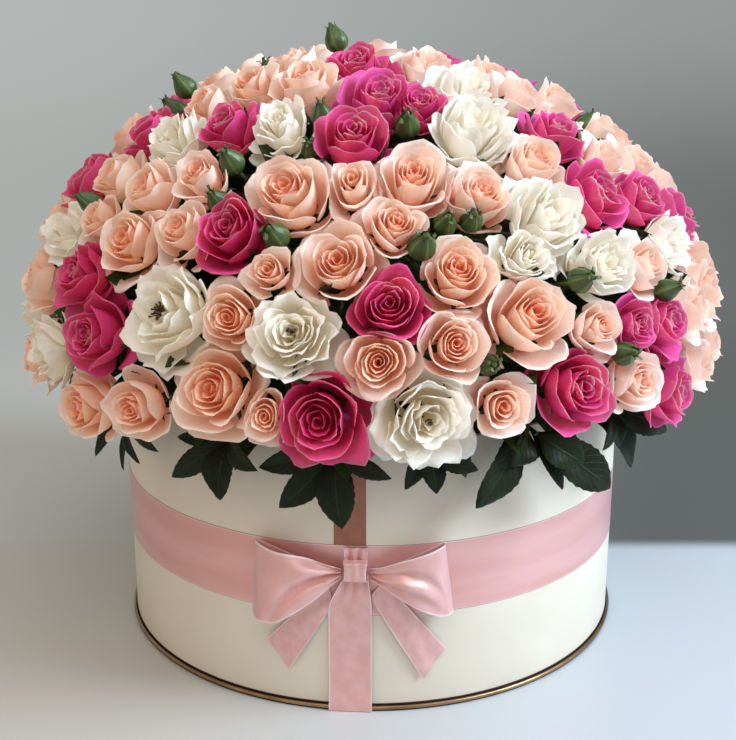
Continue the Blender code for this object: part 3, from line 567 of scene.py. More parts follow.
class Bunch:
    """Gathers the points and faces of many blades and tubes into one piece. Every blade is a closed
    sheet, with a mark on each point: share of its length, share of the way out, chance and tone."""

    def __init__(self):
        self.points, self.faces, self.marks, self.charts, self.sides = [], [], [], [], []
        self.count = 0

    def add(self, points, faces, marks, charts, sides):
        """Adds copies at once: points by copy and point, and faces, charts and sides of one."""
        copies, each = points.shape[:2]
        starts = self.count + each * np.arange(copies)
        self.points.append(points.reshape(-1, 3))
        self.marks.append(marks.reshape(-1, 4))
        self.charts.append(np.tile(charts, (copies, 1)))
        for start in starts:
            self.faces += [[v + int(start) for v in face] for face in faces]
        cells = len(set(sides))
        first = self.sides[-1] + 1 if self.sides else 0
        for copy in range(copies):
            self.sides += [first + copy * cells + side for side in sides]
        self.count += copies * each

    def build(self, name):
        """Makes the mesh, with each blade's own map and a map that packs all blades side by side."""
        mesh = bpy.data.meshes.new(name)
        mesh.from_pydata(np.concatenate(self.points).tolist(), [], self.faces)
        mark = mesh.attributes.new("mark", "FLOAT_COLOR", "POINT")
        mark.data.foreach_set("color", np.concatenate(self.marks).astype(np.float32).ravel())
        corners = np.empty(len(mesh.loops), np.int32)
        mesh.loops.foreach_get("vertex_index", corners)
        blade = np.concatenate(self.charts)[corners]
        sizes = np.array([len(face) for face in self.faces])
        cell = np.repeat(np.array(self.sides), sizes)
        across = int(np.ceil(np.sqrt(cell.max() + 1)))
        packed = (np.stack([cell % across, cell // across], -1) + 0.08 + 0.84 * blade) / across
        for title, chart in (("blade", blade), ("OFBake", packed)):
            layer = mesh.uv_layers.new(name=title)
            layer.data.foreach_set("uv", chart.astype(np.float32).ravel())
        piece = bpy.data.objects.new(name, mesh)
        bpy.context.scene.collection.objects.link(piece)
        mesh.shade_smooth()
        mesh.set_sharp_from_angle(angle=radians(75))
        return piece


def blade_grid(columns, rows):
    """One closed blade: a front grid and a back grid that share their edge, with the corners cut
    off. Gives its faces, the points that are kept, and which side each face is on."""
    front = np.arange((columns + 1) * (rows + 1)).reshape(rows + 1, columns + 1)
    back = front.copy()
    inside = (rows - 1) * (columns - 1)
    back[1:-1, 1:-1] = front.size + np.arange(inside).reshape(rows - 1, columns - 1)
    cut = {int(front[0, 0]), int(front[0, -1]), int(front[-1, 0]), int(front[-1, -1])}
    kept = [v for v in range(front.size + inside) if v not in cut]
    number = {v: k for k, v in enumerate(kept)}
    faces, sides = [], []
    for side, (sheet, turn) in enumerate(((front, 1), (back, -1))):
        corners = np.stack([sheet[:-1, :-1], sheet[:-1, 1:], sheet[1:, 1:], sheet[1:, :-1]], -1)
        for quad in corners.reshape(-1, 4):
            faces.append([number[int(v)] for v in quad if int(v) not in cut][::turn])
            sides.append(side)
    return faces, kept, sides


def both_sides(values):
    """Repeats a grid's inner values for its back."""
    count = values.shape[0]
    rest = values.shape[3:]
    return np.concatenate([values.reshape(count, -1, *rest),
                           values[:, 1:-1, 1:-1].reshape(count, -1, *rest)], 1)


def grid_shares(columns, rows):
    """The shares of a blade's grid: from -1 to 1 across and from 0 to 1 along."""
    return np.meshgrid(np.linspace(-1, 1, columns + 1), np.linspace(0, 1, rows + 1))


def blade_marks(u, v, chances, tone=0.0):
    """The marks of blades on one grid: u from -1 to 1 across, v along, and each one's chance."""
    marks = np.empty((len(chances), *v.shape, 4))
    marks[..., 0] = v
    marks[..., 1] = 0.5 + 0.5 * u
    marks[..., 2] = chances[:, None, None]
    marks[..., 3] = tone
    return marks


def marks_of(finish):
    """A finish's readings of the marks: along, across or out, chance and tone."""
    colour = finish.add("Attribute", {"attribute_name": "mark"}, output="Color")
    shares = [finish.add("SeparateColor", inputs={0: colour}, output=k) for k in range(3)]
    return (*shares, finish.add("Attribute", {"attribute_name": "mark"}, output="Alpha"))


def add_blades(bunch, surface, thickness, marks, columns, rows):
    """Adds blades whose front surfaces are given as copy, row, column and point, each with marks
    as copy, row, column and four shares."""
    faces, kept, sides = blade_grid(columns, rows)
    across = np.gradient(surface, axis=2)
    along = np.gradient(surface, axis=1)
    normal = np.cross(across, along)
    normal /= np.linalg.norm(normal, axis=-1, keepdims=True) + 1e-12
    front = surface.reshape(len(surface), -1, 3)
    back = (surface - normal * thickness)[:, 1:-1, 1:-1].reshape(len(surface), -1, 3)
    points = np.concatenate([front, back], 1)[:, kept]
    u, v = np.meshgrid(np.linspace(0, 1, columns + 1), np.linspace(0, 1, rows + 1))
    charts = both_sides(np.stack([u, v], -1)[None])[0][kept]
    bunch.add(points, faces, both_sides(marks)[:, kept], charts, sides)


def add_tube(bunch, path, radii, sides, mark):
    """Adds a closed round stem through points, with a radius at each."""
    path = [np.asarray(p, float) for p in path]
    rings = []
    for k, (spot, radius) in enumerate(zip(path, radii)):
        run = unit(path[min(k + 1, len(path) - 1)] - path[max(k - 1, 0)])
        first = unit(np.cross(run, (0.31, 0.12, 0.94)))
        second = np.cross(run, first)
        rings.append([spot + radius * (first * cos(t) + second * sin(t))
                      for t in 2 * pi * np.arange(sides) / sides])
    points = np.array([path[0]] + [p for ring in rings for p in ring] + [path[-1]])
    faces = []
    last = len(points) - 1
    for k in range(sides):
        n = (k + 1) % sides
        faces.append([0, 1 + n, 1 + k])
        for level in range(len(path) - 1):
            a, b = 1 + level * sides, 1 + (level + 1) * sides
            faces.append([a + k, a + n, b + n, b + k])
        faces.append([last, last - sides + k, last - sides + n])
    height = np.array([0.0] + [level / (len(path) - 1) for level in range(len(path))
                               for _ in range(sides)] + [1.0])
    turn = np.array([0.5] + [k / sides for _ in path for k in range(sides)] + [0.5])
    marks = np.tile(np.array(mark, float), (len(points), 1))
    marks[:, 0] = height
    bunch.add(points[None], faces, marks[None], np.stack([turn, height], -1), [0] * len(faces))


def add_sepals(bunch, head, radius, rng):
    """Five narrow blades round the hip, bent out and down under the petals."""
    u, v = grid_shares(SEPAL_COLUMNS, SEPAL_ROWS)
    turn = 2 * pi * np.arange(SEPALS) / SEPALS + rng.uniform(-0.2, 0.2, SEPALS)
    length = rng.uniform(0.55, 0.80, SEPALS)[:, None, None]
    droop = rng.uniform(-0.10, 0.16, SEPALS)[:, None, None]
    reach = HIP_WIDTH * 0.8 + length * v
    rise = -HIP_DROP + 0.03 + 0.10 * v ** 2 - droop * v
    angle = turn[:, None, None] + u * 0.42 * (1 - v) ** 0.7 / (1 + 2.5 * v)
    marks = blade_marks(u, v, rng.uniform(0, 1, SEPALS))
    add_blades(bunch, head.around(radius, reach, angle, rise), SEPAL_THICKNESS, marks,
               SEPAL_COLUMNS, SEPAL_ROWS)


def add_stem(bunch, head, foot, radius, rng):
    """The stem of one head, from its root or fork to the hip under its petals."""
    neck = head.middle - head.axis * head.radius * HIP_DROP
    base = head.at(BASE_SHARE)
    bend = base + (neck - base) * 0.5 + head.out * 0.001
    hip = neck + head.axis * head.radius * HIP_HEIGHT
    path = [foot, foot + (base - foot) * 0.5, base, bend, neck, hip]
    thin = TWIG_RADIUS * 1.25
    radii = [radius, radius, max(thin, radius * 0.8), thin,
             head.radius * HIP_WIDTH * 0.9, head.radius * HIP_WIDTH]
    add_tube(bunch, path, radii, STEM_SIDES, (0, 0.5, rng.uniform(), 0.3))


# Buds stay green here: five glossy sepals wrap the petals right up to a point, and their tips
# come loose and curl.

BUD_SEPALS = 5
BUD_SLIM = 0.88
BUD_AGE = 0.6
BUD_COLUMNS = 6
BUD_ROWS = 9
# The bud's outline, from its hip to its point: height and radius on a bud of radius 1
BUD_HEIGHTS = (-0.62, -0.45, -0.15, 0.25, 0.70, 1.10, 1.45, 1.75)
BUD_WIDTHS = (0.22, 0.55, 0.80, 0.86, 0.74, 0.50, 0.26, 0.08)


def add_bud(bunch, head, rng):
    radius = head.radius * BUD_SLIM
    body = [head.middle + head.axis * radius * height for height in BUD_HEIGHTS]
    add_tube(bunch, body, [radius * (width - 0.03) for width in BUD_WIDTHS], 10,
             (0, 0.9, rng.uniform(), 1.0))
    u, v = grid_shares(BUD_COLUMNS, BUD_ROWS)
    turn = (2 * pi * np.arange(BUD_SEPALS) / BUD_SEPALS + rng.uniform(0, 1))[:, None, None]
    tall = rng.uniform(0.92, 1.10, BUD_SEPALS)[:, None, None]
    loose = rng.uniform(0.15, 0.75, BUD_SEPALS)[:, None, None]
    height = -0.60 + 2.45 * v * tall
    free = np.clip((v - 0.74) / 0.26, 0, 1) ** 2
    girth = np.interp(height, BUD_HEIGHTS + (2.4,), BUD_WIDTHS + (0.05,))
    lapped = 0.02 + 0.03 * (u + 1) * np.interp(v, [0, 0.3, 0.8, 1.0], [0.3, 1.0, 0.6, 0.2])
    reach = girth + lapped + loose * free
    half = np.interp(v, [0, 0.15, 0.5, 0.75, 0.9, 1.0], [0.80, 0.82, 0.78, 0.62, 0.42, 0.30])
    angle = turn + u * half + 0.6 * free * loose
    height = height - 0.5 * loose * free
    marks = blade_marks(u, v, rng.uniform(0, 1, BUD_SEPALS), BUD_AGE)
    add_blades(bunch, head.around(radius, reach, angle, height), SEPAL_THICKNESS, marks,
               BUD_COLUMNS, BUD_ROWS)


green = Finish("stem_green", coat_weight=0.15, coat_roughness=0.25)
along_it, across_it, chance, age = marks_of(green)
rib = 1 - green.step(abs(across_it - 0.5), 0.02, 0.14)
mottle = green.noise(green.place(), 320, 4, 0.6)
young = green.mix(mottle, tint(40, 66, 26), tint(84, 112, 48))
fresh = green.mix(green.step(age, 0.1, 0.9), tint(30, 52, 26), young)
ribbed = green.mix(rib * 0.30, fresh, tint(132, 156, 84))
burnt = green.step(along_it, 0.82, 1.0) * chance * 0.5
green.drive("Base Color", green.mix(burnt, ribbed, tint(120, 78, 58)))
green.drive("Roughness", 0.34 + 0.2 * mottle)
green.bump(mottle * 0.4 + rib * 0.6, 0.0003)

stem_draws = np.random.default_rng(SEED + 2)
for spray_name, spray in sprays.items():
    greens = Bunch()
    for number, (head, foot) in enumerate(spray):
        thickness = TWIG_RADIUS if number else TRUNK_RADIUS
        add_stem(greens, head, foot, thickness, stem_draws)
        if head.kind == BUD:
            add_bud(greens, head, stem_draws)
        else:
            add_sepals(greens, head, head.radius, stem_draws)
    stems = greens.build(spray_name.replace("roses", "stems"))
    settle(stems, green)


# The leaves over the rim. Rose leaflets, leathery and toothed, on short sprays that stand in the
# foam and hang over the wall. They follow the solids' leaves from the fork of each spray to the
# tips, and the two sprays at the front right have two leaves more.

LEAF_ROOT = (0.118, 0.1935)
LEAF_FORK = (0.197, 0.1835)
# Azimuth of the stem, then each leaf as azimuth and height of its tip, its width, and how far out
# its tip hangs
LEAF_SPRAYS = (
    (-50, ((-63, 0.160, 0.015, 0.222), (-55, 0.152, 0.016, 0.220), (-49, 0.147, 0.010, 0.208),
           (-43, 0.158, 0.013, 0.206), (-37, 0.172, 0.015, 0.206))),
    (-25, ((-37, 0.176, 0.012, 0.203), (-36.5, 0.153, 0.018, 0.206), (-25.5, 0.148, 0.024, 0.206),
           (-18, 0.172, 0.016, 0.206))),
    (-6, ((-19.5, 0.168, 0.019, 0.204), (-15.5, 0.146, 0.022, 0.204), (-4.8, 0.137, 0.026, 0.203),
          (3, 0.170, 0.014, 0.204))),
    (10, ((5.6, 0.160, 0.014, 0.206), (10.5, 0.158, 0.017, 0.206), (17, 0.172, 0.014, 0.206))),
    (30, ((18.5, 0.142, 0.028, 0.205), (24, 0.168, 0.024, 0.206), (35, 0.146, 0.012, 0.204),
          (37, 0.164, 0.026, 0.209), (42.5, 0.144, 0.030, 0.208))),
    (49, ((55, 0.142, 0.026, 0.214), (50, 0.160, 0.026, 0.208), (64, 0.158, 0.020, 0.216),
          (43, 0.166, 0.016, 0.204), (58, 0.168, 0.024, 0.212))),
)
BACK_LEAF_AZIMUTHS = (92, 136, 180, 224, 268)
BACK_LEAVES = ((-16, 0.156, 0.022, 0.210), (-3, 0.142, 0.028, 0.207), (14, 0.152, 0.024, 0.210))
LEAF_LAYER = 0.0042
LEAF_BOW = 0.006
LEAF_SLIM = 0.88
LEAF_THICKNESS = 0.0007
LEAF_GRID = (8, 22)
LEAF_STEM = (0.0021, 0.0019, 0.0013)
TOOTH = 0.028


def add_leaf(bunch, base, tip, width, outward, bow, rng, grid=LEAF_GRID):
    """One toothed leaflet from its base to its tip, folded along its rib and waved at its edge."""
    columns, rows = grid
    along = unit(tip - base)
    side = unit(np.cross(outward, along))
    face = np.cross(along, side)
    length = np.linalg.norm(tip - base)
    u, v = grid_shares(columns, rows)
    outline = np.interp(v, [0, 0.10, 0.20, 0.32, 0.44, 0.58, 0.72, 0.85, 0.94, 1.0],
                        [0.05, 0.08, 0.34, 0.74, 0.95, 1.00, 0.88, 0.60, 0.29, 0.03])
    tooth = np.where(np.arange(rows + 1) % 2, TOOTH, -TOOTH)[:, None]
    teeth = 1 + tooth * np.abs(u) ** 6 * (v > 0.3)
    half = width / 2 * outline * teeth
    fold = rng.uniform(0.12, 0.30)
    wave = rng.uniform(0.02, 0.06)
    lift = (fold * half * np.abs(u) + wave * width * np.sin(v * 9 + rng.uniform(0, 6)) * u ** 2
            + 0.025 * width * np.sin(v * 52 - np.abs(u) * 5) * np.abs(u) * (1 - np.abs(u)))
    curve = bow * 4 * v * (1 - v) - rng.uniform(0.0, 0.06) * length * v ** 3
    sway = rng.uniform(-0.05, 0.05) * length * np.sin(pi * v)
    surface = (base + (tip - base) * v[..., None] + side * (u * half + sway)[..., None]
               + face * (lift + curve)[..., None])
    marks = blade_marks(u, v, rng.uniform(size=1), rng.uniform())
    add_blades(bunch, surface[None], LEAF_THICKNESS, marks, columns, rows)


def on_cylinder(azimuth, radius, height):
    a = radians(azimuth)
    return np.array([radius * sin(a), -radius * cos(a), height])


def leaf_finish(name, deep, young, patch):
    """A leathery leaf: dark, patchy, with a paler rib and faint side veins."""
    finish = Finish(name, specular_ior_level=0.20)
    along, across, own, _ = marks_of(finish)
    off_rib = abs(across - 0.5)
    midrib = 1 - finish.step(off_rib, 0.008, 0.035)
    slant = along * 9 - off_rib * 5
    off_vein = slant.math("FRACT", slant) - 0.5
    veins = 1 - finish.step(abs(off_vein), 0.02, 0.10)
    blotch = finish.noise(finish.place(), 120, 4, 0.6)
    body = finish.mix(own, tint(*deep), tint(*young))
    patchy = finish.mix(finish.step(blotch, 0.35, 0.75) * 0.45, body, tint(*patch))
    finish.drive("Base Color", finish.mix(veins * 0.08 + midrib * 0.28, patchy, tint(70, 88, 48)))
    finish.drive("Roughness", 0.34 + 0.2 * blotch)
    finish.bump(blotch * 0.3 + (1 - veins) * 0.5 + (1 - midrib) * 0.4, 0.0005)
    return finish


leather = leaf_finish("rose_leaf", (11, 16, 7), (27, 40, 17), (34, 52, 22))

leaf_draws = np.random.default_rng(SEED + 1)
leaf_plan = list(LEAF_SPRAYS)
for azimuth in BACK_LEAF_AZIMUTHS:
    leaf_plan.append((azimuth, tuple((azimuth + da + leaf_draws.uniform(-1.5, 1.5),
                                      height + leaf_draws.uniform(-0.006, 0.006), width, reach)
                                     for da, height, width, reach in BACK_LEAVES)))
shape_draws = np.random.default_rng(SEED + 3)
for number, (azimuth, leaves) in enumerate(leaf_plan, 1):
    root, end = on_cylinder(azimuth, *LEAF_ROOT), on_cylinder(azimuth, *LEAF_FORK)
    bunch = Bunch()
    add_tube(bunch, [root, root + (end - root) * 0.6, end], LEAF_STEM, STEM_SIDES, (0, 0.5, 0.3, 0.3))
    for step, (tip_azimuth, height, width, reach) in enumerate(leaves):
        layer = LEAF_LAYER * (step - (len(leaves) - 1) / 2)
        fork = end - unit(end - root) * (TRUNK_RADIUS + LEAF_LAYER * (len(leaves) - 1 - step))
        tip = on_cylinder(tip_azimuth, reach + layer, height)
        outward = unit(np.array([fork[0] + tip[0], fork[1] + tip[1], 0.0]))
        add_leaf(bunch, fork, tip, width * LEAF_SLIM, outward, LEAF_BOW, shape_draws)
    spray_leaves = bunch.build(f"rim_leaves_{number:02d}")
    settle(spray_leaves, leather, [f"leaf_spray_{number:02d}"])


# The leaves among the blooms. Leaflets that grow on the same stems and show as dark green in the
# gaps where three heads meet, and along the rim under the lowest heads.

GAP_SPOTS = 1600
GAP_LOWEST = -0.02
GAP_LEAST = 0.98
GAP_APART = 0.020
GAP_LEAF_WIDTH = (0.020, 0.028)
GAP_LEAF_BASE = 0.72
GAP_LEAF_TIP = (0.94, 1.00)
GAP_LEAF_ASIDE = (0.010, 0.020)
GAP_LEAF_BOW = 0.004
GAP_LEAF_GRID = (4, 8)
RIM_LEAF_TURN = 9.0
RIM_LEAF_FOOT = (0.150, 0.197)
RIM_LEAF_REACH = (0.196, 0.208)
RIM_LEAF_HEIGHT = (0.166, 0.186)
RIM_LEAF_WIDTH = (0.022, 0.030)
RIM_LEAF_GRID = (4, 10)

all_heads = blooms + buds
head_outs = np.array([head.out for head in all_heads])
head_spreads = np.array([head.spread for head in all_heads])
gap_draws = np.random.default_rng(SEED + 4)
chosen = []
for spot in even_spots(GAP_SPOTS, GAP_LOWEST):
    out = heading(*spot)
    openness = float((np.arccos(np.clip(head_outs @ out, -1, 1)) / head_spreads).min())
    if openness > GAP_LEAST:
        chosen.append((openness, out))
chosen.sort(key=lambda pair: -pair[0])
gap_places = []
for openness, out in chosen:
    reach = dome_reach(out)
    spot = HEART + out * reach
    if all(np.linalg.norm(spot - other) > GAP_APART for other, _, _ in gap_places):
        gap_places.append((spot, out, reach))
gap_leaf = leaf_finish("inner_leaf", (34, 50, 26), (58, 84, 40), (64, 92, 46))
quarters = [Bunch() for _ in range(4)]
for spot, out, reach in gap_places:
    level = unit(np.cross(out, (0.2, 0.1, 0.97)))
    turn = gap_draws.uniform(0, 2 * pi)
    quarter = quarters[int(np.degrees(np.arctan2(out[0], -out[1])) % 360 // 90)]
    for swing in (0.0, gap_draws.uniform(1.8, 3.2)):
        sideways = level * cos(turn + swing) + np.cross(out, level) * sin(turn + swing)
        base = HEART + out * reach * GAP_LEAF_BASE
        tip = (HEART + out * reach * gap_draws.uniform(*GAP_LEAF_TIP)
               + sideways * gap_draws.uniform(*GAP_LEAF_ASIDE))
        add_leaf(quarter, base, tip, gap_draws.uniform(*GAP_LEAF_WIDTH), unit(out + sideways * 0.8),
                 GAP_LEAF_BOW, gap_draws, GAP_LEAF_GRID)
for azimuth in np.arange(0, 360, RIM_LEAF_TURN):
    swing = gap_draws.uniform(-3, 3)
    base = on_cylinder(azimuth, *RIM_LEAF_FOOT)
    tip = on_cylinder(azimuth + 2.5 * swing, gap_draws.uniform(*RIM_LEAF_REACH),
                      gap_draws.uniform(*RIM_LEAF_HEIGHT))
    quarter = quarters[int(azimuth % 360 // 90)]
    add_leaf(quarter, base, tip, gap_draws.uniform(*RIM_LEAF_WIDTH), np.array([0.0, 0.0, 1.0]),
             LEAF_BOW, gap_draws, RIM_LEAF_GRID)
for number, bunch in enumerate(quarters, 1):
    settle(bunch.build(f"inner_leaves_{number}"), gap_leaf)


# The petals. Each bloom is a goblet: a tight spiral of rolled petals fills its cup, and a few broad
# guard petals stand round it, their rims rolled back. Blooms press on their neighbours, so each is
# drawn in where a neighbour's space begins. The kinds differ in how full, open and ruffled they are.

HEAD_SWELL = 1.12
PETAL_THICKNESS = 0.00045
CELL_OVERLAP = 0.0028
LEAST_FIT = 0.60
OPEN_REACH = 1.40
SPOKES = 48
LARGE = 0.0215
SMALL = 0.0175
CUP_EDGE = 0.45
RIM_TURN = 2.35
PETAL_GLOW = 0.065

# Reach is the distance from the axis, where a head's radius is 1. The heights and curls are read
# at HEIGHT_REACHES and CURL_REACHES, and the spans are half the turn that a petal takes, in radians
HEIGHT_REACHES = (0.0, 0.12, 0.35, 0.60, 0.80, 1.00, 1.20)
SPAN_REACHES = (0.0, 0.12, 0.30, 0.50, 0.75, 1.00)
CURL_REACHES = (0.0, 0.25, 0.50, 0.75, 1.00)
GARDEN_ROSE = dict(
    cup_petals=12, cup=0.52, guards=7, crowding=1.0, foot=-0.80, uneven=0.08, loose=0.9, oval=0.10,
    heights=(0.29, 0.34, 0.38, 0.35, 0.25, 0.03, -0.34), spans=(2.6, 2.2, 1.85, 1.55, 1.35, 1.20),
    curls=(0.01, 0.015, 0.04, 0.10, 0.20), wave=0.048, waves=2.0, drop=0.50, round=3.0, point=0.08,
    spiral=0.07, most=1.55, columns=(10, 16))
ROSE_KINDS = {
    "garden": GARDEN_ROSE,
    "spiral": dict(GARDEN_ROSE, cup=0.56, guards=6, crowding=1.05, foot=-0.84, uneven=0.06, loose=0.8,
                   heights=(0.31, 0.36, 0.39, 0.37, 0.28, 0.08, -0.30), oval=0.08,
                   spans=(2.6, 2.2, 1.9, 1.6, 1.4, 1.25), curls=(0.01, 0.015, 0.035, 0.09, 0.18),
                   wave=0.042, waves=1.8, drop=0.48, spiral=0.08),
    "small": dict(GARDEN_ROSE, cup_petals=9, cup=0.58, guards=5, crowding=1.05, foot=-0.88,
                  uneven=0.07, loose=1.0, heights=(0.32, 0.38, 0.42, 0.40, 0.30, 0.10, -0.28),
                  spans=(2.6, 2.2, 1.9, 1.7, 1.45, 1.3), curls=(0.015, 0.02, 0.04, 0.12, 0.22),
                  wave=0.046, waves=1.8, drop=0.46, spiral=0.08, columns=(8, 12)),
    "fuchsia": dict(GARDEN_ROSE, cup=0.54, crowding=1.1, uneven=0.07, loose=1.1, oval=0.12,
                    heights=(0.25, 0.30, 0.36, 0.36, 0.25, 0.03, -0.32),
                    spans=(2.5, 2.1, 1.75, 1.55, 1.35, 1.2), curls=(0.015, 0.02, 0.045, 0.10, 0.20),
                    wave=0.052, waves=1.9, point=0.07, spiral=0.075),
    "ruffled": dict(GARDEN_ROSE, guards=11, crowding=0.85, foot=-0.70, uneven=0.24, loose=2.4,
                    heights=(0.26, 0.34, 0.44, 0.43, 0.30, 0.08, -0.26), oval=0.20,
                    spans=(1.8, 1.6, 1.40, 1.25, 1.10, 1.00), curls=(0.03, 0.04, 0.07, 0.12, 0.20),
                    wave=0.088, waves=2.6, drop=0.58, round=2.5, point=0.0, spiral=0.03, most=1.24,
                    columns=(12, 18)),
}
# Where the rows of points lie along a petal of the cup and along a guard petal
CUP_ROWS = (0.0, 0.50, 0.80, 0.94, 1.0)
GUARD_ROWS = (0.0, 0.28, 0.52, 0.72, 0.86, 0.95, 1.0)


def rose_kind(head):
    if head.kind == WHITE:
        return "ruffled"
    if head.kind == MAGENTA:
        return "fuchsia"
    if head.radius < SMALL:
        return "small"
    return "garden" if head.radius > LARGE else "spiral"


def cell_fit(head, radius, walls, most):
    """How far a head of radius 1 may reach along each spoke before a neighbour's space begins."""
    turns = 2 * pi * np.arange(SPOKES) / SPOKES
    spokes = np.outer(np.cos(turns), head.side) + np.outer(np.sin(turns), head.up)
    closing = -(walls @ spokes.T)
    room = (walls @ (head.middle - HEART) + CELL_OVERLAP)[:, None]
    reach = np.where(closing > 1e-6, room / np.maximum(closing, 1e-6), np.inf).min(axis=0)
    fit = np.clip(reach / radius, LEAST_FIT, most)
    near = np.stack([np.roll(fit, k) for k in (-2, -1, 0, 1, 2)])
    return np.average(near, axis=0, weights=(1, 2, 3, 2, 1))


def petal_surfaces(kind, reach, chance, columns, row_places):
    """The petals of one bloom that reach so far from its axis, on a head of radius 1, as distance
    from the axis, angle and height, and the share along each."""
    def each(values):
        return np.asarray(values)[:, None, None]

    across = np.sin(np.linspace(-1, 1, columns + 1) * 0.43 * pi) / sin(0.43 * pi)
    u, v = np.meshgrid(across, row_places)
    u, v = u[None] * np.ones((len(reach), 1, 1)), v[None] * np.ones((len(reach), 1, 1))
    far = each(reach)
    guard = np.clip((far - 0.70) / 0.30, 0, 1)
    top = each(np.interp(reach, HEIGHT_REACHES, kind["heights"])
               + kind["uneven"] * (chance["top"] - 0.5))
    span = each(np.interp(reach, SPAN_REACHES, kind["spans"]) * (0.9 + 0.2 * chance["span"]))
    curl = each(np.interp(reach, CURL_REACHES, kind["curls"]) * (0.5 + 1.0 * chance["curl"]))
    wave = each(kind["wave"] * np.interp(reach, [0, 0.3, 0.7, 1.0], [0.15, 0.5, 1.0, 1.5])
                * (0.5 + chance["wave"]))
    phase = each(2 * pi * chance["phase"])
    point = each(kind["point"] * (0.3 + 1.2 * chance["point"])) * np.clip((far - 0.3) / 0.5, 0, 1)
    drop = kind["drop"] * np.interp(far, [0, 0.45, 0.80], [0.70, 0.80, 1.0])
    t = v * (1 - drop * np.abs(u) ** kind["round"] + point * (1 - np.abs(u)) ** 1.6)
    solid = np.clip(t, 0, 1)
    width = 0.26 + 0.74 * np.sin(pi / 2 * np.clip(t / 0.62, 0, 1))
    width = width * (1 - 0.10 * np.clip((v - 0.6) / 0.4, 0, 1) ** 2)
    angle = each(chance["turn"]) + span * u * width
    foot = 0.07 + 0.17 * far
    swelling = np.interp(far, [0, 0.4, 0.7, 1.0], [1.5, 2.6, 2.8, 2.3])
    distance = foot + (far - foot) * (1 - (1 - solid) ** swelling)
    rising = np.interp(far, [0, 0.5, 1.0], [1.0, 1.15, 1.15])
    height = kind["foot"] + (top - kind["foot"]) * t ** rising
    rolled = curl * (1 + guard * 0.9 * (np.abs(u) ** 1.5 - 0.35))
    start = np.interp(far, [0, 0.6, 1.0], [0.84, 0.74, 0.55])
    bend = np.clip((t - start) / (1 - start), 0, 1.25)
    distance = distance + rolled * bend ** 1.6
    height = height - 0.85 * rolled * bend ** 2.4
    twist = kind["spiral"] * u * np.clip(t * 2, 0, 1)
    distance = distance * (1 + twist * np.interp(far, [0, 0.5, 1.0], [1.8, 1.0, 0.5]))
    height = height + each(0.30 * kind["loose"] * (chance["lean"] - 0.5)) * u * far * t
    ripple = kind["waves"] * pi * u
    flutter = np.sin(1.9 * ripple + 2 * phase) * solid ** 6
    ragged = 0.020 * np.sin(23 * u + 5 * phase) * np.sin(11 * u + phase) * np.clip(v * 8 - 7, 0, 1)
    distance = distance + wave * (0.7 * np.sin(ripple + phase) * solid ** 4 + 0.45 * flutter)
    height = height + ragged
    height = height + wave * (0.6 * np.cos(ripple + 1.7 * phase) * solid ** 4 + 0.4 * flutter)
    oval = kind["oval"] * np.cos(2 * (angle - chance["oval_turn"])) * np.clip(1 - far, 0, 1)
    return distance * (1 + oval), angle, height, v


def add_bloom(bunch, head, walls, rng):
    """One bloom's petals, turned to its own axis and drawn in to its own space on the dome."""
    kind = ROSE_KINDS[rose_kind(head)]
    radius = HEAD_SWELL * head.radius
    cup = kind["cup"] + rng.uniform(-0.07, 0.05)
    share = (np.arange(kind["cup_petals"]) + 0.6) / kind["cup_petals"]
    inner = 0.05 + (cup - 0.05) * share ** kind["crowding"]
    guards = np.linspace(cup + 0.10, 1.18, kind["guards"]) + rng.uniform(-0.03, 0.03, kind["guards"])
    reach = np.concatenate([inner, guards])
    order = np.arange(len(reach))
    chance = {name: rng.uniform(0, 1, len(reach))
              for name in ("top", "span", "curl", "wave", "phase", "lean", "own", "point")}
    turns = np.where(order < len(inner), order * radians(GOLDEN_TURN), order * RIM_TURN)
    chance["turn"] = turns + kind["uneven"] * rng.uniform(-2, 2, len(reach))
    chance["oval_turn"] = rng.uniform(0, pi)
    # The tone is partly chance and the head's own colour, and partly painted light by where it lies.
    tone = float(np.clip(rng.uniform(-0.18, 0.18) + tone_of(head), 0, 1))
    fit = cell_fit(head, radius, walls, kind["most"])
    fit_turns = 2 * pi * np.arange(SPOKES + 1) / SPOKES
    few, many = kind["columns"]
    for columns, rows, chosen_ones in ((few, CUP_ROWS, reach < CUP_EDGE),
                                       (many, GUARD_ROWS, reach >= CUP_EDGE)):
        some = {name: values if name == "oval_turn" else values[chosen_ones]
                for name, values in chance.items()}
        distance, angle, height, v = petal_surfaces(kind, reach[chosen_ones], some, columns, rows)
        pressed = np.interp(angle % (2 * pi), fit_turns, np.append(fit, fit[0]))
        squeeze = (1 - pressed / OPEN_REACH) * np.minimum(distance / OPEN_REACH, 1)
        distance = distance * (1 - squeeze)
        surface = head.around(radius, distance, angle, height)
        even = np.ones_like(v)
        marks = np.stack([v, reach[chosen_ones][:, None, None] * even,
                          some["own"][:, None, None] * even, tone * even], -1)
        add_blades(bunch, surface, PETAL_THICKNESS, marks, columns, len(rows) - 1)


def tone_of(head):
    """How far a head leans to its colour's second tone. Part is painted light: pink, bright pink or
    pure white on the lit right side and top, and apricot, crimson or ivory in painted shade on the
    lower left. Blush heads lean further to the second tone by their own colour."""
    return (0.42 + 0.26 * sin(radians(head.azimuth)) + 0.36 * head.elevation / 90
            + (0.35 if head.kind == BLUSH else 0.0))


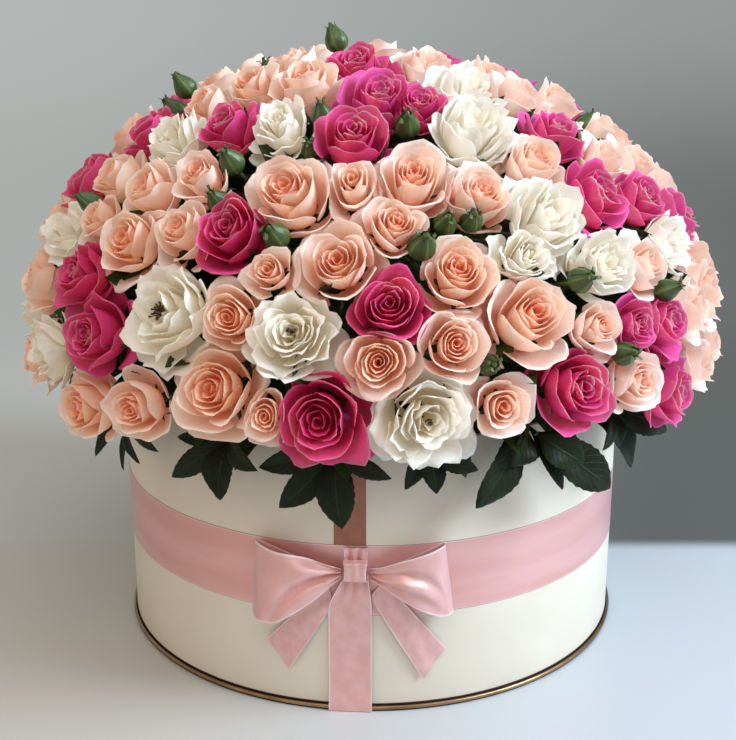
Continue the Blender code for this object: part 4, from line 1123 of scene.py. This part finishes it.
def petal_finish(name, hearts, middles, outers, rims, shade, gloss, shine):
    """Petals: deep in the heart, paler outwards and at the rim, with painted shade towards the base of
    each petal, where it lies deep in the bloom, and fine veins from the base. Each colour is given in
    the first tone, for painted shade, and the second tone, for painted light. A faint painted glow of
    the shade colour stands for the light that thin petals pass on to each other."""
    # Painted glow: the petals give off a faint light in their shade colour.
    finish = Finish(name, subsurface_weight=0.55, subsurface_radius=(1.0, 0.62, 0.48),
                    subsurface_scale=0.005, specular_ior_level=shine,
                    emission_color=tint(*shade), emission_strength=PETAL_GLOW)
    length, reach, own, tone = marks_of(finish)
    ramps = []
    for number in (0, 1):
        stops = [(0.0, tint(*hearts[number])), (0.36, tint(*middles[number])),
                 (0.82, tint(*outers[number]))]
        ramps.append(finish.add("ValToRGB", {"stops": stops}, {0: reach}))
    body = finish.mix(tone, ramps[0], ramps[1])
    chart = finish.add("UVMap", {"uv_map": "blade"})
    stretched = finish.add("Mapping", inputs={"Vector": chart, "Scale": (26, 1.6, 1)})
    veins = finish.noise(stretched, 1.0, 3, 0.6)
    blush = finish.noise(finish.place(), 90, 3, 0.5)
    # Painted shade: the lower part of each petal is mixed towards the shade colour.
    painted_base_shade = finish.mix((1 - finish.step(length, 0.10, 0.90)) * 0.62, body, tint(*shade))
    veined = finish.mix(finish.step(veins, 0.45, 0.75) * 0.12, painted_base_shade, tint(*shade))
    varied = finish.mix(own * blush * 0.35, veined, tint(*rims[0]))
    rim = finish.step(length, 0.93, 1.0) * (0.5 + 0.5 * finish.step(reach, 0.0, 0.3))
    rim_colour = finish.mix(tone, tint(*rims[0]), tint(*rims[1]))
    finish.drive("Base Color", finish.mix(rim * 0.22, varied, rim_colour))
    finish.drive("Roughness", gloss + 0.14 * veins)
    finish.bump(veins, 0.0003, 0.6)
    return finish


# Hearts, middles, outers and rims: the first of each pair is painted shade, the second painted light.
petal_finishes = {
    PEACH: petal_finish("peach_petals", ((236, 112, 60), (234, 122, 86)),
                        ((244, 188, 148), (250, 214, 194)), ((248, 227, 208), (252, 234, 224)),
                        ((248, 232, 220), (251, 234, 232)), (228, 122, 80), 0.50, 0.25),
    MAGENTA: petal_finish("magenta_petals", ((164, 14, 48), (172, 16, 90)),
                          ((212, 36, 84), (208, 48, 138)), ((218, 52, 102), (222, 78, 162)),
                          ((224, 96, 144), (235, 134, 198)), (158, 12, 50), 0.48, 0.25),
    WHITE: petal_finish("white_petals", ((234, 220, 188), (238, 229, 203)),
                        ((241, 233, 216), (246, 241, 232)), ((244, 238, 226), (249, 246, 239)),
                        ((246, 242, 232), (251, 249, 244)), (228, 208, 172), 0.55, 0.25),
}

bloom_draws = np.random.default_rng(SEED + 5)
for spray_name, spray in sprays.items():
    petals = Bunch()
    for head, _ in spray:
        if head.kind != BUD:
            add_bloom(petals, head, cell_walls(head, all_heads), bloom_draws)
    colour = spray[0][0].colour
    piece = petals.build(spray_name.replace("roses", "petals"))
    settle(piece, petal_finishes[colour], [spray_name])


# The stamens. Thin threads with dark pollen tips, which show in the open hearts of a few of the
# white blooms.

# Azimuth and elevation of the bloom, the number of its threads, and how far they lean
STAMEN_HEADS = ((-31, 12.5, 26, 0.24), (-11, 11.5, 12, 0.14), (7.5, 0, 10, 0.12))
STAMEN_RADII = (0.0003, 0.0003, 0.0007, 0.0005)

dark = Finish("stamens", roughness=0.7)
dust = dark.noise(dark.place(), 900, 3, 0.6)
dark.drive("Base Color", dark.mix(dust, tint(46, 22, 26), tint(104, 74, 46)))
threads = Bunch()
thread_draws = np.random.default_rng(SEED + 6)
for azimuth, elevation, count, spread in STAMEN_HEADS:
    head = next(b for b in blooms if b.azimuth == azimuth and b.elevation == elevation)
    for _ in range(count):
        turn = thread_draws.uniform(0, 2 * pi)
        lean = head.side * cos(turn) + head.up * sin(turn)
        foot = head.middle + head.axis * head.radius * 0.05
        end = foot + head.radius * (head.axis * thread_draws.uniform(0.22, 0.36)
                                    + lean * thread_draws.uniform(0, spread))
        add_tube(threads, [foot, foot + (end - foot) * 0.8, foot + (end - foot) * 0.9, end],
                 STAMEN_RADII, 5, (0, 0.5, 0.5, 0.5))
settle(threads.build("stamens"), dark)


# The ribbon band. One length of satin ribbon drawn tight round the wall, its ends hidden by the bow.

RIBBON_GAP = 0.0003
CLOTH = 0.0004


def cloth(name, columns, rows, place, finish, replaced, thickness=CLOTH):
    """A strip of ribbon: a grid whose points are moved to place(across, along), given a thickness
    outwards. Across and along run from 0 to 1."""
    bpy.ops.mesh.primitive_grid_add(x_subdivisions=columns, y_subdivisions=rows, size=1,
                                    calc_uvs=True)
    strip = bpy.context.object
    strip.name = strip.data.name = name
    for point in strip.data.vertices:
        point.co = place(point.co.x + 0.5, point.co.y + 0.5)
    strip.data.uv_layers[0].name = "ribbon"
    body = strip.modifiers.new("thickness", "SOLIDIFY")
    body.thickness = thickness
    body.offset = 1
    apply_all(strip)
    bpy.ops.object.shade_smooth_by_angle(angle=radians(50))
    return settle(strip, finish, replaced)


def wall_point(x, z, out):
    """A place by its distance along the wall from the middle of the front, height and stand-off."""
    return on_cylinder(np.degrees(x / BOX_RADIUS), BOX_RADIUS + out, z)


def satin(name, shade, light, edge, outer_colour, selvedge):
    """Satin: threads run along the ribbon and catch the light, and broad patches and single threads
    are mixed towards the light colour as painted sheen. The selvedge is a share of its width, paler
    inside, and its very edge takes the outer colour, which on the band and the riser is a dark line
    of painted shade."""
    finish = Finish(name, metallic=0.35, sheen_weight=0.45, sheen_roughness=0.35,
                    sheen_tint=tint(226, 228, 252), anisotropic=0.4, specular_ior_level=1.0,
                    coat_weight=0.3, coat_roughness=0.38)
    chart = finish.add("UVMap", {"uv_map": "ribbon"})
    fine = finish.add("Mapping", inputs={"Vector": chart, "Scale": (150, 6, 1)})
    broad = finish.add("Mapping", inputs={"Vector": chart, "Scale": (3, 9, 1)})
    threads = finish.noise(fine, 1.0, 2, 0.5)
    painted_sheen_patches = finish.noise(broad, 1.0, 2, 0.5)
    across = finish.part(chart, 0)
    off = abs(across - 0.5)
    edged = finish.step(off, 0.5 - selvedge, 0.5 - selvedge * 0.5)
    outer_line = finish.step(off, 0.5 - selvedge * 0.45, 0.5 - selvedge * 0.25)
    # Painted sheen: broad patches and single threads are mixed towards the light colour.
    colour = finish.mix(finish.step(painted_sheen_patches, 0.3, 0.7), tint(*shade), tint(*light))
    colour = finish.mix(finish.step(threads, 0.3, 0.8) * 0.25, colour, tint(*light))
    woven = finish.mix(edged * 0.8, colour, tint(*edge))
    # On the band and the riser the outer colour is dark: a line of painted shade along each edge.
    finish.drive("Base Color", finish.mix(outer_line * 0.8, woven, tint(*outer_colour)))
    finish.drive("Roughness", 0.34 + 0.10 * threads)
    finish.bump(threads, 0.00015, 0.5)
    return finish


banded = satin("band_satin", (229, 166, 158), (239, 184, 181), (252, 226, 224), (168, 108, 104),
               0.022)
band_low, band_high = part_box("ribbon_band")


def band_place(across, along):
    height = band_low.z + (band_high.z - band_low.z) * across
    return wall_point((along - 0.5) * 2 * pi * BOX_RADIUS, height, RIBBON_GAP)


band = cloth("satin_band", 8, 180, band_place, banded, ["ribbon_band"])


# The riser and the drop. Two upright lengths of narrower ribbon. The brown-rose riser comes down
# from the rim and tucks in behind the band. The drop is gathered at the knot, widens and hangs over
# the foot trim.

# The height and stand-off of points down the drop, from the floor up
DROP_PATH = ((0.0004, 0.0029), (0.0044, 0.0029), (0.016, 0.0012), (0.068, 0.0013), (0.084, 0.0030),
             (0.089, 0.0014), (0.097, 0.0013))
DROP_CUP = 0.0006
GATHER_HEIGHT = 0.070
GATHERED = 0.44
GATHER_EASE = 1.4
GATHER_FOLDS = 3
GATHER_FOLD_DEPTH = 0.0013
RISER_TUCK = 0.006
RISER_GAP = 0.0001
RISER_CLOTH = 0.00015

riser_low, riser_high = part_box("ribbon_riser")
drop_low, drop_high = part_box("ribbon_drop")
knot_low, knot_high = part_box("bow_knot")
RISER_MIDDLE = (riser_low.x + riser_high.x) / 2
RISER_WIDTH = riser_high.x - riser_low.x
RISER_LENGTH = riser_high.z - band_high.z + RISER_TUCK
DROP_WIDTH = drop_high.x - drop_low.x


def riser_place(across, along):
    height = band_high.z - RISER_TUCK + RISER_LENGTH * along
    return wall_point(RISER_MIDDLE + (across - 0.5) * RISER_WIDTH, height, RISER_GAP)


def drop_place(across, along):
    heights, stands = zip(*DROP_PATH)
    z = heights[0] + (heights[-1] - heights[0]) * along
    pull = min(max((z - GATHER_HEIGHT) / (knot_low.z - GATHER_HEIGHT), 0.0), 1.0) ** GATHER_EASE
    out = np.interp(z, heights, stands) + DROP_CUP * (across - 0.5) ** 2 * 4
    out += pull * GATHER_FOLD_DEPTH * cos(2 * pi * GATHER_FOLDS * across)
    middle = RISER_MIDDLE + ((knot_low.x + knot_high.x) / 2 - RISER_MIDDLE) * pull
    return wall_point(middle + (across - 0.5) * DROP_WIDTH * (1 - GATHERED * pull), z, out)


taupe = satin("taupe_satin", (150, 85, 56), (160, 95, 66), (96, 44, 34), (70, 30, 26), 0.022)
dusty = satin("dusty_satin", (232, 174, 168), (241, 190, 188), (253, 230, 228), (253, 230, 228),
              0.036)
riser = cloth("satin_riser", 6, 12, riser_place, taupe, ["ribbon_riser"], RISER_CLOTH)
drop = cloth("satin_drop", 18, 48, drop_place, dusty, ["ribbon_drop"])


# The bow. Two loops, two tails, a knot and the pleats above it, all of the drop's satin. Each loop
# is a length of ribbon gathered at the knot, spread out, folded and brought back behind itself.

BOW_COLUMNS = 20
BOW_ROWS = 72
GATHERS = 3
GATHER_DEPTH = 0.0012
LOOP_SWELL = 0.0044
LEAST_STAND = 0.0022
# How deep a loop's crease and its fold are
LEFT_DEPTHS = (0.0070, 0.0034)
RIGHT_DEPTHS = (0.0054, 0.0030)

# Each station: x, height and stand-off of the top edge, then the same of the bottom edge
LEFT_LOOP = ((-0.0175, 0.1006, 0.0065, -0.0182, 0.0936, 0.0060),
             (-0.0235, 0.1026, 0.0084, -0.0240, 0.0892, 0.0085),
             (-0.0330, 0.1052, 0.0104, -0.0330, 0.0812, 0.0132),
             (-0.0450, 0.1088, 0.0134, -0.0450, 0.0722, 0.0184),
             (-0.0560, 0.1118, 0.0148, -0.0555, 0.0656, 0.0206),
             (-0.0645, 0.1136, 0.0122, -0.0655, 0.0646, 0.0168),
             (-0.0698, 0.1134, 0.0074, -0.0718, 0.0660, 0.0094),
             (-0.0690, 0.1120, 0.0034, -0.0710, 0.0668, 0.0036),
             (-0.0550, 0.1076, 0.0028, -0.0550, 0.0720, 0.0030),
             (-0.0350, 0.1015, 0.0028, -0.0350, 0.0840, 0.0030),
             (-0.0175, 0.0985, 0.0034, -0.0175, 0.0940, 0.0036))
RIGHT_LOOP = ((-0.0020, 0.1006, 0.0060, -0.0005, 0.0936, 0.0060),
              (0.0060, 0.1030, 0.0092, 0.0070, 0.0888, 0.0085),
              (0.0150, 0.1074, 0.0132, 0.0170, 0.0818, 0.0120),
              (0.0260, 0.1112, 0.0150, 0.0285, 0.0746, 0.0140),
              (0.0350, 0.1136, 0.0138, 0.0385, 0.0696, 0.0135),
              (0.0408, 0.1148, 0.0108, 0.0455, 0.0684, 0.0110),
              (0.0438, 0.1144, 0.0070, 0.0492, 0.0698, 0.0070),
              (0.0430, 0.1136, 0.0034, 0.0480, 0.0710, 0.0036),
              (0.0330, 0.1098, 0.0028, 0.0360, 0.0760, 0.0030),
              (0.0160, 0.1030, 0.0028, 0.0180, 0.0860, 0.0030),
              (-0.0020, 0.0985, 0.0034, -0.0010, 0.0940, 0.0036))
# The crease and the fold of a loop, as the share along and the share across where each runs
LEFT_CREASE = ((0.0, 0.50), (0.12, 0.55), (0.22, 0.52), (0.32, 0.34), (0.42, 0.10), (0.5, -0.2))
LEFT_FOLD = ((0.0, 0.86), (0.12, 0.90), (0.25, 1.0), (0.4, 1.2), (0.5, 1.4))
RIGHT_CREASE = ((0.0, 0.50), (0.12, 0.62), (0.22, 0.66), (0.32, 0.60), (0.42, 0.40), (0.5, 0.2))
RIGHT_FOLD = ((0.0, 0.20), (0.12, 0.22), (0.25, 0.24), (0.4, 0.1), (0.5, 0.0))

# The corners of a tail, each x and height: the two at the knot, then the two at its tip
LEFT_TAIL = ((-0.0262, 0.0900), (-0.0235, 0.0730), (-0.0660, 0.0450), (-0.0522, 0.0250))
RIGHT_TAIL = ((-0.0010, 0.0800), (0.0080, 0.0905), (0.0322, 0.0212), (0.0464, 0.0414))
LOOP_WIDTH = 0.046
TAIL_WIDTH = 0.0225
TAIL_STAND = 0.0016


def smooth_along(stations, along):
    """A soft curve through stations."""
    rows = np.array(stations)
    where = along * (len(rows) - 1)
    k = min(int(where), len(rows) - 2)
    t = where - k
    a, b, c, d = (rows[min(max(i, 0), len(rows) - 1)] for i in (k - 1, k, k + 1, k + 2))
    return 0.5 * (2 * b + (c - a) * t + (2 * a - 5 * b + 4 * c - d) * t ** 2
                  + (3 * b - a - 3 * c + d) * t ** 3)


def loop_place(stations, depths, *creases):
    """A loop swept along its stations, gathered at both ends and creased on its front."""
    def place(across, along):
        top_x, top, top_out, low_x, low, low_out = smooth_along(stations, along)
        nearness = max(0.0, 1 - min(along, 1 - along) / 0.22)
        front = max(0.0, 1 - abs(along - 0.24) / 0.24)
        out = low_out + (top_out - low_out) * across + LOOP_SWELL * front * sin(pi * across)
        out += GATHER_DEPTH * nearness ** 0.7 * cos(2 * pi * GATHERS * across)
        for line, depth in zip(creases, depths):
            valley = np.interp(along, *zip(*line))
            out -= depth * front ** 0.7 * np.exp(-((across - valley) / 0.12) ** 2)
        x = low_x + (top_x - low_x) * across
        return wall_point(x, low + (top - low) * across, max(out, LEAST_STAND))
    return place


left_loop = cloth("bow_loop_left_satin", BOW_COLUMNS, BOW_ROWS,
                  loop_place(LEFT_LOOP, LEFT_DEPTHS, LEFT_CREASE, LEFT_FOLD),
                  dusty, ["bow_loop_left"])
right_loop = cloth("bow_loop_right_satin", BOW_COLUMNS, BOW_ROWS,
                   loop_place(RIGHT_LOOP, RIGHT_DEPTHS, RIGHT_CREASE, RIGHT_FOLD),
                   dusty, ["bow_loop_right"])


def tail_place(corners):
    """A flat tail between its four corners, lifted a little along its middle."""
    (ax, az), (bx, bz), (cx, cz), (dx, dz) = corners

    def place(across, along):
        x = (ax + (bx - ax) * across) * (1 - along) + (cx + (dx - cx) * across) * along
        z = (az + (bz - az) * across) * (1 - along) + (cz + (dz - cz) * across) * along
        lift = 0.0014 * sin(pi * along) + 0.0022 * max(0.0, along - 0.55) * (1 - across)
        ripple = 0.0005 * sin(2 * pi * (across * 1.5 + along))
        return wall_point(x, z, TAIL_STAND + lift + ripple)
    return place


left_tail = cloth("bow_tail_left_satin", 10, 24, tail_place(LEFT_TAIL), dusty,
                  ["bow_tail_left"])
right_tail = cloth("bow_tail_right_satin", 10, 24, tail_place(RIGHT_TAIL), dusty,
                   ["bow_tail_right"])

KNOT_MIDDLE = ((knot_low.x + knot_high.x) / 2, (knot_low.z + knot_high.z) / 2)
KNOT_HALF = ((knot_high.x - knot_low.x) / 2, (knot_high.z - knot_low.z) / 2)
KNOT_OUT = (0.0026, 0.0104)
KNOT_BLUNT = 0.45
KNOT_SHARE = 0.9
THIN_CLOTH = 0.0003


def blunt(value):
    return np.sign(value) * abs(value) ** KNOT_BLUNT


def knot_place(across, along):
    """The wrap of the knot: a rounded belt that runs up the front and closes behind."""
    turn = 2 * pi * along
    middle, half = (KNOT_OUT[0] + KNOT_OUT[1]) / 2, (KNOT_OUT[1] - KNOT_OUT[0]) / 2
    z = KNOT_MIDDLE[1] + KNOT_HALF[1] * blunt(sin(turn))
    crease = 0.0004 * cos(2 * pi * 2.5 * (across - 0.5))
    out = middle + (half + crease) * blunt(-cos(turn))
    pinch = 1 - 0.06 * cos(2 * turn)
    half_width = KNOT_HALF[0] * KNOT_SHARE * pinch
    return wall_point(KNOT_MIDDLE[0] + half_width * 2 * (across - 0.5), z, out)


knot = cloth("bow_knot_satin", 10, 48, knot_place, dusty, ["bow_knot"], THIN_CLOTH)

# The height and the half width of the pleats' lower and upper end
PLEAT_LOW = (0.0930, 0.0054)
PLEAT_HIGH = (band_high.z - 0.0008, 0.0074)
PLEATS = 2.5


def pleats_place(across, along):
    """The gathered ribbon that rises from behind the knot and flattens out on the band."""
    z = PLEAT_LOW[0] + (PLEAT_HIGH[0] - PLEAT_LOW[0]) * along
    half = PLEAT_LOW[1] + (PLEAT_HIGH[1] - PLEAT_LOW[1]) * along
    out = 0.0022 + 0.0012 * cos(2 * pi * PLEATS * across) * (1 - 0.55 * along)
    return wall_point(KNOT_MIDDLE[0] + (2 * across - 1) * half, z, out)


pleats = cloth("bow_pleats_satin", 42, 8, pleats_place, dusty, (), THIN_CLOTH)


def cloth_area(piece):
    """The area of one face of a strip, from its mesh."""
    return sum(face.area for face in piece.data.polygons) / 2


for part, width, held, below in ((left_loop, LOOP_WIDTH, "folded", [band, knot]),
                                 (right_loop, LOOP_WIDTH, "folded", [band, knot]),
                                 (left_tail, TAIL_WIDTH, "laid", [box_wall, band]),
                                 (right_tail, TAIL_WIDTH, "laid", [box_wall, band]),
                                 (knot, 2 * KNOT_HALF[0], "folded", [drop, band]),
                                 (pleats, TAIL_WIDTH, "gathered", [band])):
    cloth_area(part) / width
    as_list(below)


# The room. A pale floor, tinted warm to the left and cool to the right in painted light, that turns
# to a grey of painted shade behind the box and further back glows like the wall, and a grey wall
# that glows with painted light. Soft daylight comes from the right, a little light from above and a
# weak warm fill from the left, and the camera has the height and tilt of the photograph.

FLOOR_SIZE = 8.0
FLOOR_TURNS = (0.060, 0.085)
WALL_BEHIND = 1.6
ROOM_FRONT = -0.9
WALL_LIGHTENS = 0.40
LENS_PIXELS = 1303.0
FRAME_PIXELS = 740.0
SENSOR = 36.0
MIDDLE_SHIFT = 3.4
CAMERA_TILT = 17.0
# Name, place, what it is aimed at, its width, watts and colour
LAMPS = (
    ("window", (1.40, -0.50, 1.15), (0, 0, 0.22), 0.9, 40, (0.71, 0.86, 1.0)),
    ("warm_fill", (-1.4, -1.1, 0.9), (0, 0, 0.2), 1.4, 3.2, (1.0, 0.68, 0.40)),
    ("ceiling", (0.0, -0.75, 1.5), (0, 0, 0.3), 1.3, 8.5, (1.0, 0.96, 0.92)),
)
ROOM_LIGHT = (1.0, 0.94, 0.86, 1.0)
ROOM_STRENGTH = 0.45


def room_spread(finish):
    """How far back a point of the room lies, and how far aside for that depth."""
    spot = finish.place()
    depth = finish.part(spot, 1)
    aside = finish.part(spot, 0)
    return depth, aside / (depth - ROOM_FRONT)


def room_grey(finish):
    """The wall's grey as painted light: an even glow of its own, lighter to the left and higher up."""
    depth, aside = room_spread(finish)
    across = finish.step(aside, -0.30, 0.30)
    above = finish.step(finish.part(finish.place(), 2), 0.0, WALL_LIGHTENS)
    low = finish.mix(across, tint(170, 174, 170), tint(110, 114, 113))
    high = finish.mix(across, tint(180, 184, 183), tint(150, 154, 153))
    return finish.add("Emission", inputs={"Color": finish.mix(above, low, high)})


bpy.ops.mesh.primitive_plane_add(size=FLOOR_SIZE, location=(0, 0, 0))
floor = bpy.context.object
floor.name = "floor"
table = Finish("pale_floor", roughness=0.32)
floor_depth, floor_aside = room_spread(table)
in_view = 1 - table.step(abs(floor_aside), 0.31, 0.55)
behind = table.step(floor_depth, *FLOOR_TURNS) * in_view
# Painted shade: behind the box the floor is grey, darker to the right.
painted_shade_behind = table.mix(table.step(floor_aside, -0.22, 0.26), tint(196, 198, 193), tint(86, 88, 85))
# Painted light: the near floor is warmer to the left and cooler to the right.
front = table.mix(table.step(floor_aside, -0.30, 0.30), tint(197, 194, 187), tint(191, 198, 206))
table.drive("Base Color", table.mix(behind, front, painted_shade_behind))
surface = Wire(table, table.shader.outputs["BSDF"])
# Further back the floor glows with the wall's painted light.
far = behind * table.step(floor_depth, 0.35, 1.0)
far_floor = table.add("MixShader", inputs={0: far, 1: surface, 2: room_grey(table)})
table.feed(table.nodes["Material Output"].inputs["Surface"], far_floor)
floor.data.materials.append(table.material)

bpy.ops.mesh.primitive_plane_add(size=FLOOR_SIZE, location=(0, WALL_BEHIND, 0),
                                 rotation=(pi / 2, 0, 0))
bpy.ops.object.transform_apply(location=True, rotation=True)
backdrop = bpy.context.object
backdrop.name = "backdrop"
grey = Finish("grey_backdrop")
grey.feed(grey.nodes["Material Output"].inputs["Surface"], room_grey(grey))
backdrop.data.materials.append(grey.material)


for name, place, target, size, watts, colour in LAMPS:
    lamp = bpy.data.lights.new(name, "AREA")
    lamp.shape = "DISK"
    lamp.size, lamp.energy, lamp.color = size, watts, colour
    holder = bpy.data.objects.new(name, lamp)
    bpy.context.scene.collection.objects.link(holder)
    away = unit(np.array(place) - np.array(target))
    holder.location = place
    holder.rotation_euler = (np.arccos(away[2]), 0, np.arctan2(away[0], -away[1]))

world = bpy.data.worlds.new("studio")
bpy.context.scene.world = world
world.use_nodes = True
room_light = world.node_tree.nodes["Background"]
room_light.inputs["Color"].default_value = ROOM_LIGHT
room_light.inputs["Strength"].default_value = ROOM_STRENGTH

view = bpy.data.cameras.new("camera")
view.lens = LENS_PIXELS / FRAME_PIXELS * SENSOR
view.sensor_width = SENSOR
view.shift_x = -MIDDLE_SHIFT / FRAME_PIXELS
camera = bpy.data.objects.new("camera", view)
bpy.context.scene.collection.objects.link(camera)
camera.location = tuple(EYE)
camera.rotation_euler = (radians(90 - CAMERA_TILT), 0, 0)
bpy.context.scene.camera = camera
bpy.context.scene.view_settings.view_transform = "Standard"
